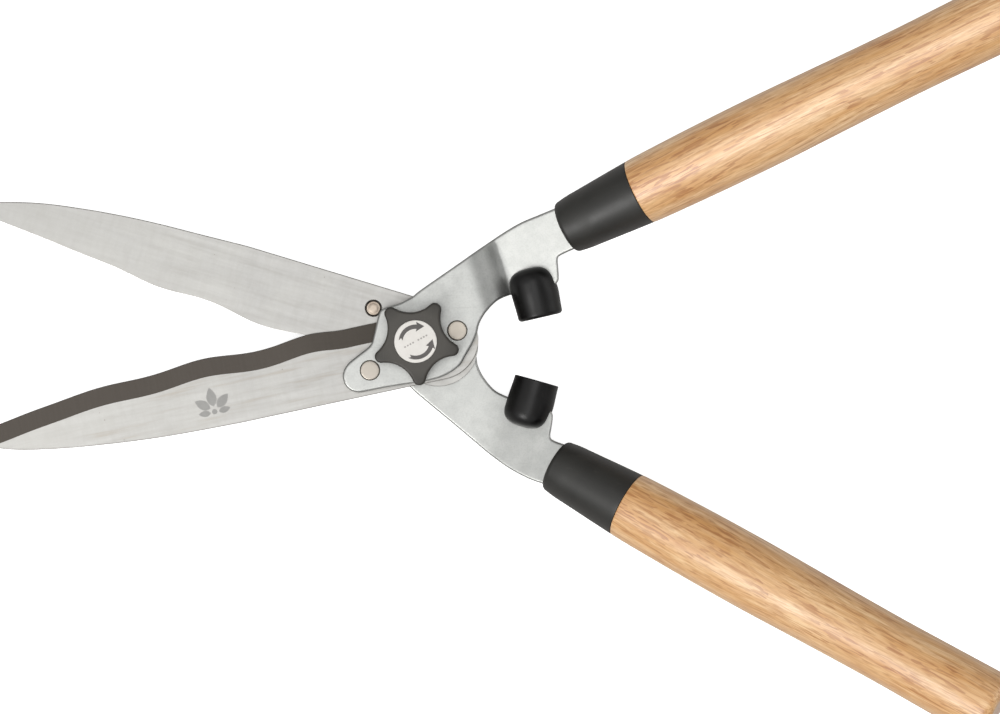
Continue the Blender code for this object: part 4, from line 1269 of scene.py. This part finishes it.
def leaf(root, degrees, length, half_width):
    """A pointed leaf outline from its stalk end."""
    along = polar(1.0, degrees)
    side = Vector((-along.y, along.x))
    right, left = [], []
    for k in range(1, 14):
        part = k / 14
        wide = half_width * (math.sin(math.pi * part ** 0.85)) ** 0.85
        right.append(root + along * length * part - side * wide)
        left.append(root + along * length * part + side * wide)
    return [root] + right + [root + along * length] + left[::-1]


def leaf_mark():
    turn = Matrix.Rotation(math.radians(MARK_DEG), 2)
    outlines = {}
    for k, (x, y, degrees, length, half_width) in enumerate(MARK_LEAVES):
        root = MARK_PLACE + turn @ Vector((x, y))
        outlines["leaf_mark_%d" % k] = leaf(root, MARK_DEG + degrees, length, half_width)
    dot = MARK_PLACE + turn @ Vector(MARK_DOT)
    outlines["leaf_mark_dot"] = circle(dot.x, dot.y, MARK_DOT_R, 32)
    for name, outline in outlines.items():
        ink(name, outline, FRONT_BLADE_Z + BLADE_T, LEAF_INK, "front_half",
            thick=0.02)


leaf_mark()


# ---------------------------------------------------------------- buffers

def bumper(half):
    """A moulded plug pushed over the arm's lug: domed at the back, flat at the stop face,
    and pressed a little out of round on the side of the arm's ear."""
    length, edge = half.bumper_l, half.bumper_round
    profile = [(0, length, 0), (BUMPER_FACE_R * 0.5, length, 0)]
    profile += [(BUMPER_FACE_R - edge + edge * sine, length - edge + edge * cosine, 0.2)
                for sine, cosine in quarter(6)]
    for k in range(1, 7):
        part = k / 7
        ease = part * part * (3 - 2 * part)
        profile.append((BUMPER_FACE_R + (BUMPER_R - BUMPER_FACE_R) * ease,
                        (length - edge) + (9.6 - length + edge) * part, 0))
    profile += [(BUMPER_R * cosine ** 0.66, BUMPER_DOME_L - BUMPER_DOME_L * sine ** 0.80, 0)
                for sine, cosine in quarter(19)[:-1]]
    profile.append((0, 0, 0))
    obj = turned(half.name + "_bumper_rubber", profile, 96, RUBBER)

    x, y = half.bumper_face
    direction = polar(1.0, half.bumper_deg)
    matrix = place_on((x - direction.x * length, y - direction.y * length, BUMPER_Z),
                      (direction.x, direction.y, 0))
    # the sideways direction towards the arm's ear, in the plug's own frame
    ear = matrix.to_3x3().inverted() @ Vector((-direction.y * half.sign,
                                               direction.x * half.sign, 0))
    for vert in obj.data.vertices:
        height = vert.co.z / MM
        towards = vert.co.dot(ear) / MM
        if towards > 0:
            pull = max(0.0, 1.0 - height / 15.0)
            vert.co -= ear * towards * 0.14 * pull * pull * (3 - 2 * pull) * MM
    obj.data.transform(matrix)
    finish(obj, 50, half.name + "_half", half.name + "_bumper")


for half in HALVES:
    bumper(half)


# ---------------------------------------------------------------- ferrules and handles

def handle_frame(half):
    """+Z along the handle, from the middle of the arm's sloping end."""
    x, y = half.handle_start
    normal = polar(1.0, half.bend_deg)
    along = polar(1.0, half.handle_deg)
    z = half.arm_z + ARM_T / 2 + height_along(half.bends, normal.dot(Vector((x, y))))
    return place_on((x, y, z), (along.x, along.y, ARM_SLOPE * normal.dot(along)))


def ferrule(half):
    """A flared sleeve, closed and rounded at the arm, open towards the handle."""
    front, back = FERRULE_R
    knee_r, knee_z = front + 1.0, 12.0
    profile = [(back - FERRULE_WALL, FERRULE_L - 0.2, 0.4), (back - 0.35, FERRULE_L, 0.8),
               (back - 0.1, FERRULE_L - 0.1, 0.8), (back, FERRULE_L - 0.35, 0.1)]
    for k in range(1, 15):
        part = k / 14
        profile.append((back + (knee_r - back) * part ** 1.05,
                        FERRULE_L - 0.35 + (knee_z - FERRULE_L + 0.35) * part, 0))
    for k in range(1, 6):
        part = k / 5
        profile.append((knee_r - 1.0 * part ** 1.6, knee_z + (2.6 - knee_z) * part, 0))
    profile += [(front - 2.4 + 2.4 * cosine, 2.6 - 2.6 * sine, 0.15)
                for sine, cosine in quarter(7)[1:]]
    profile += [(front - 5, 0.0, 0), (0, 0.0, 0), (0, 9.0, 0), (front - FERRULE_WALL, 9.0, 0)]
    obj = turned(half.name + "_ferrule_sleeve", profile, 112, FERRULE_PLASTIC,
                 handle_frame(half), closed=True)
    finish(obj, 40, half.name + "_half", half.name + "_ferrule")


def grip(half):
    """The wooden handle; its third profile column marks the rounded end."""
    low = FERRULE_L + 0.12
    top = FERRULE_L + GAP + HANDLE_L
    end_round = HANDLE_END_ROUND
    last = HANDLE_R[-1][1] - 0.1
    profile = [(0, top, 1), (4, top, 1), (8, top - 0.02, 1),
               (last - end_round - 0.3, top - 0.05, 0.9)]
    for k, (sine, cosine) in enumerate(quarter(12)[1:], 1):
        profile.append((last - end_round + end_round * sine,
                        top - end_round + end_round * cosine, max(0.0, 0.9 - k / 9)))
    distance = 201.0
    while distance > 1.6:
        profile.append((value_at(HANDLE_R, distance), low + distance, 0.0))
        distance -= 2.2
    profile += [(16.72, low + 1.0), (16.66, low + 0.45), (16.5, low + 0.12), (16.2, low),
                (14.0, low), (14.0, FERRULE_L - 8.0), (0, FERRULE_L - 8.0)]
    obj = turned(half.name + "_handle_grip", profile, 128, WOOD[half.name], handle_frame(half),
                 mark="end")
    # hand-turned wood is never quite round or straight
    for vert in obj.data.vertices:
        angle = math.atan2(vert.co.y, vert.co.x)
        z = vert.co.z / MM
        swell = (0.0009 * math.cos(2 * angle + 0.4) * math.sin(z / 47.0)
                 + 0.0006 * math.cos(3 * angle) * math.sin(z / 29.0 + 1.1))
        fade = min(max((z - low - 2.0) / 25.0, 0.0), 1.0)
        vert.co.x *= 1 + swell * fade
        vert.co.y *= 1 + swell * fade
    finish(obj, 40, half.name + "_half", half.name + "_handle")


for half in HALVES:
    ferrule(half)
for half in HALVES:
    grip(half)


# ---------------------------------------------------------------- floor, light and camera
# Places and sizes in this section are in metres.

def floor():
    """Pale paper that glows to the camera only and is clear from below."""
    size, z = 6.0, -0.0002
    mesh = bpy.data.meshes.new("studio_floor")
    mesh.from_pydata([(-size, -size, z), (size, -size, z), (size, size, z), (-size, size, z)],
                     [], [(0, 1, 2, 3)])
    look = Look("floor_paper")
    fine = look.noise(look.place(), scale=400.0, detail=2.0, rough=0.5)
    seen = look.node("ShaderNodeLightPath", out="Is Camera Ray")
    paper = look.mix(look.span(fine), (0.90, 0.90, 0.90), (0.93, 0.93, 0.93))
    look.set(colour=look.mix(seen, (0.56, 0.55, 0.54), paper), rough=0.9, spec=0.1,
             glow=(1, 1, 1), glow_strength=look.math("MULTIPLY", seen, 0.75))
    below = look.node("ShaderNodeNewGeometry", out="Backfacing")
    clear = look.node("ShaderNodeBsdfTransparent")
    surface = look.node("ShaderNodeMixShader", {0: below, 1: look.shader.outputs[0], 2: clear})
    look.put(look.tree.nodes["Material Output"].inputs["Surface"], surface)
    mesh.materials.append(look.mat)
    object_from("studio_floor", mesh)


# Brightness by height: (z of the direction, level)
SKY_HEIGHT = ((0.0, 0.20), (0.20, 0.30), (0.38, 0.60), (0.54, 0.88), (0.74, 0.90), (0.88, 1.0),
              (1.0, 1.06))
# Brightness round the horizon: (0 away from SKY_SIDE to 1 towards it, level)
SKY_GAIN = ((0.0, 0.9), (0.13, 0.60), (0.26, 0.42), (0.37, 0.47), (0.47, 0.88), (0.50, 1.0),
            (0.58, 0.84), (0.68, 0.84), (0.80, 1.0), (1.0, 1.0))
SKY_SIDE = (-0.75, -0.66, 0.0)
# A pale card low on the +X side, which the cranked arm mirrors
CARD_SIDE = (0.93, 0.31, 0.20)


def world():
    made = bpy.data.worlds.new("studio")
    bpy.context.scene.world = made
    made.use_nodes = True
    nodes = Nodes(made.node_tree)
    nodes.tree.nodes.clear()

    def grey_ramp(value, stops):
        ramp = nodes.node("ShaderNodeValToRGB", {0: value})
        marks = ramp.node.color_ramp.elements
        for mark, (position, level) in ((marks[0], stops[0]), (marks[1], stops[-1])):
            mark.position = position
            mark.color = (level,) * 3 + (1,)
        for position, level in stops[1:-1]:
            marks.new(position).color = (level,) * 3 + (1,)
        return ramp

    direction = nodes.node("ShaderNodeTexCoord", out="Generated")
    height = grey_ramp(nodes.parts(direction)[2], SKY_HEIGHT)
    gain = grey_ramp(nodes.span(nodes.dot(direction, SKY_SIDE), over=(-1.0, 1.0)), SKY_GAIN)
    card = nodes.span(nodes.dot(direction, CARD_SIDE), over=(0.85, 0.98), to=(0.0, 1.1),
                      interpolation_type="SMOOTHSTEP")
    level = nodes.math("MULTIPLY_ADD", height, gain, card)
    back = nodes.node("ShaderNodeBackground", {0: (1, 1, 1), 1: level})
    nodes.put(nodes.tree.nodes.new("ShaderNodeOutputWorld").inputs[0], back)


def area_light(name, place, target, size, power, colour=(1, 1, 1)):
    data = bpy.data.lights.new(name, "AREA")
    data.shape = "DISK"
    data.size = size
    data.energy = power
    data.color = colour
    obj = object_from(name, data)
    obj.location = place
    obj.rotation_euler = (Vector(target) - Vector(place)).to_track_quat("-Z", "Y").to_euler()
    return obj


def lights():
    area_light("key_light", place=(-0.85, -0.95, 1.75), target=(0.05, 0.0, 0.0), size=1.0,
               power=21.0, colour=(1.0, 0.995, 0.985))
    area_light("top_fill", place=(0.10, 0.10, 2.7), target=(0.04, 0.0, 0.0), size=1.3, power=7.0)
    # a soft light that only gives the front handle's varnish its long highlight
    strip = area_light("handle_highlight", place=(-0.82, -0.37, 1.97), target=(0.18, 0.0, 0.05),
                       size=1.6, power=21.0, colour=(1.0, 0.98, 0.93))
    strip.visible_diffuse = False
    lit = bpy.data.collections.new("handle_highlight_receivers")
    lit.objects.link(bpy.data.objects["front_handle_grip"])
    strip.light_linking.receiver_collection = lit


def camera():
    """A long lens looking straight down."""
    data = bpy.data.cameras.new("photo_camera")
    data.sensor_fit = "HORIZONTAL"
    data.sensor_width = 36.0
    data.lens = 135.0
    data.clip_end = 20.0
    obj = object_from("photo_camera", data)
    obj.location = (0.0418, -0.00765, 1.890)
    obj.rotation_euler = (0, 0, 0)
    bpy.context.scene.camera = obj


floor()
world()
lights()
camera()
view = bpy.context.scene.view_settings
view.view_transform = "Standard"
view.look = "None"
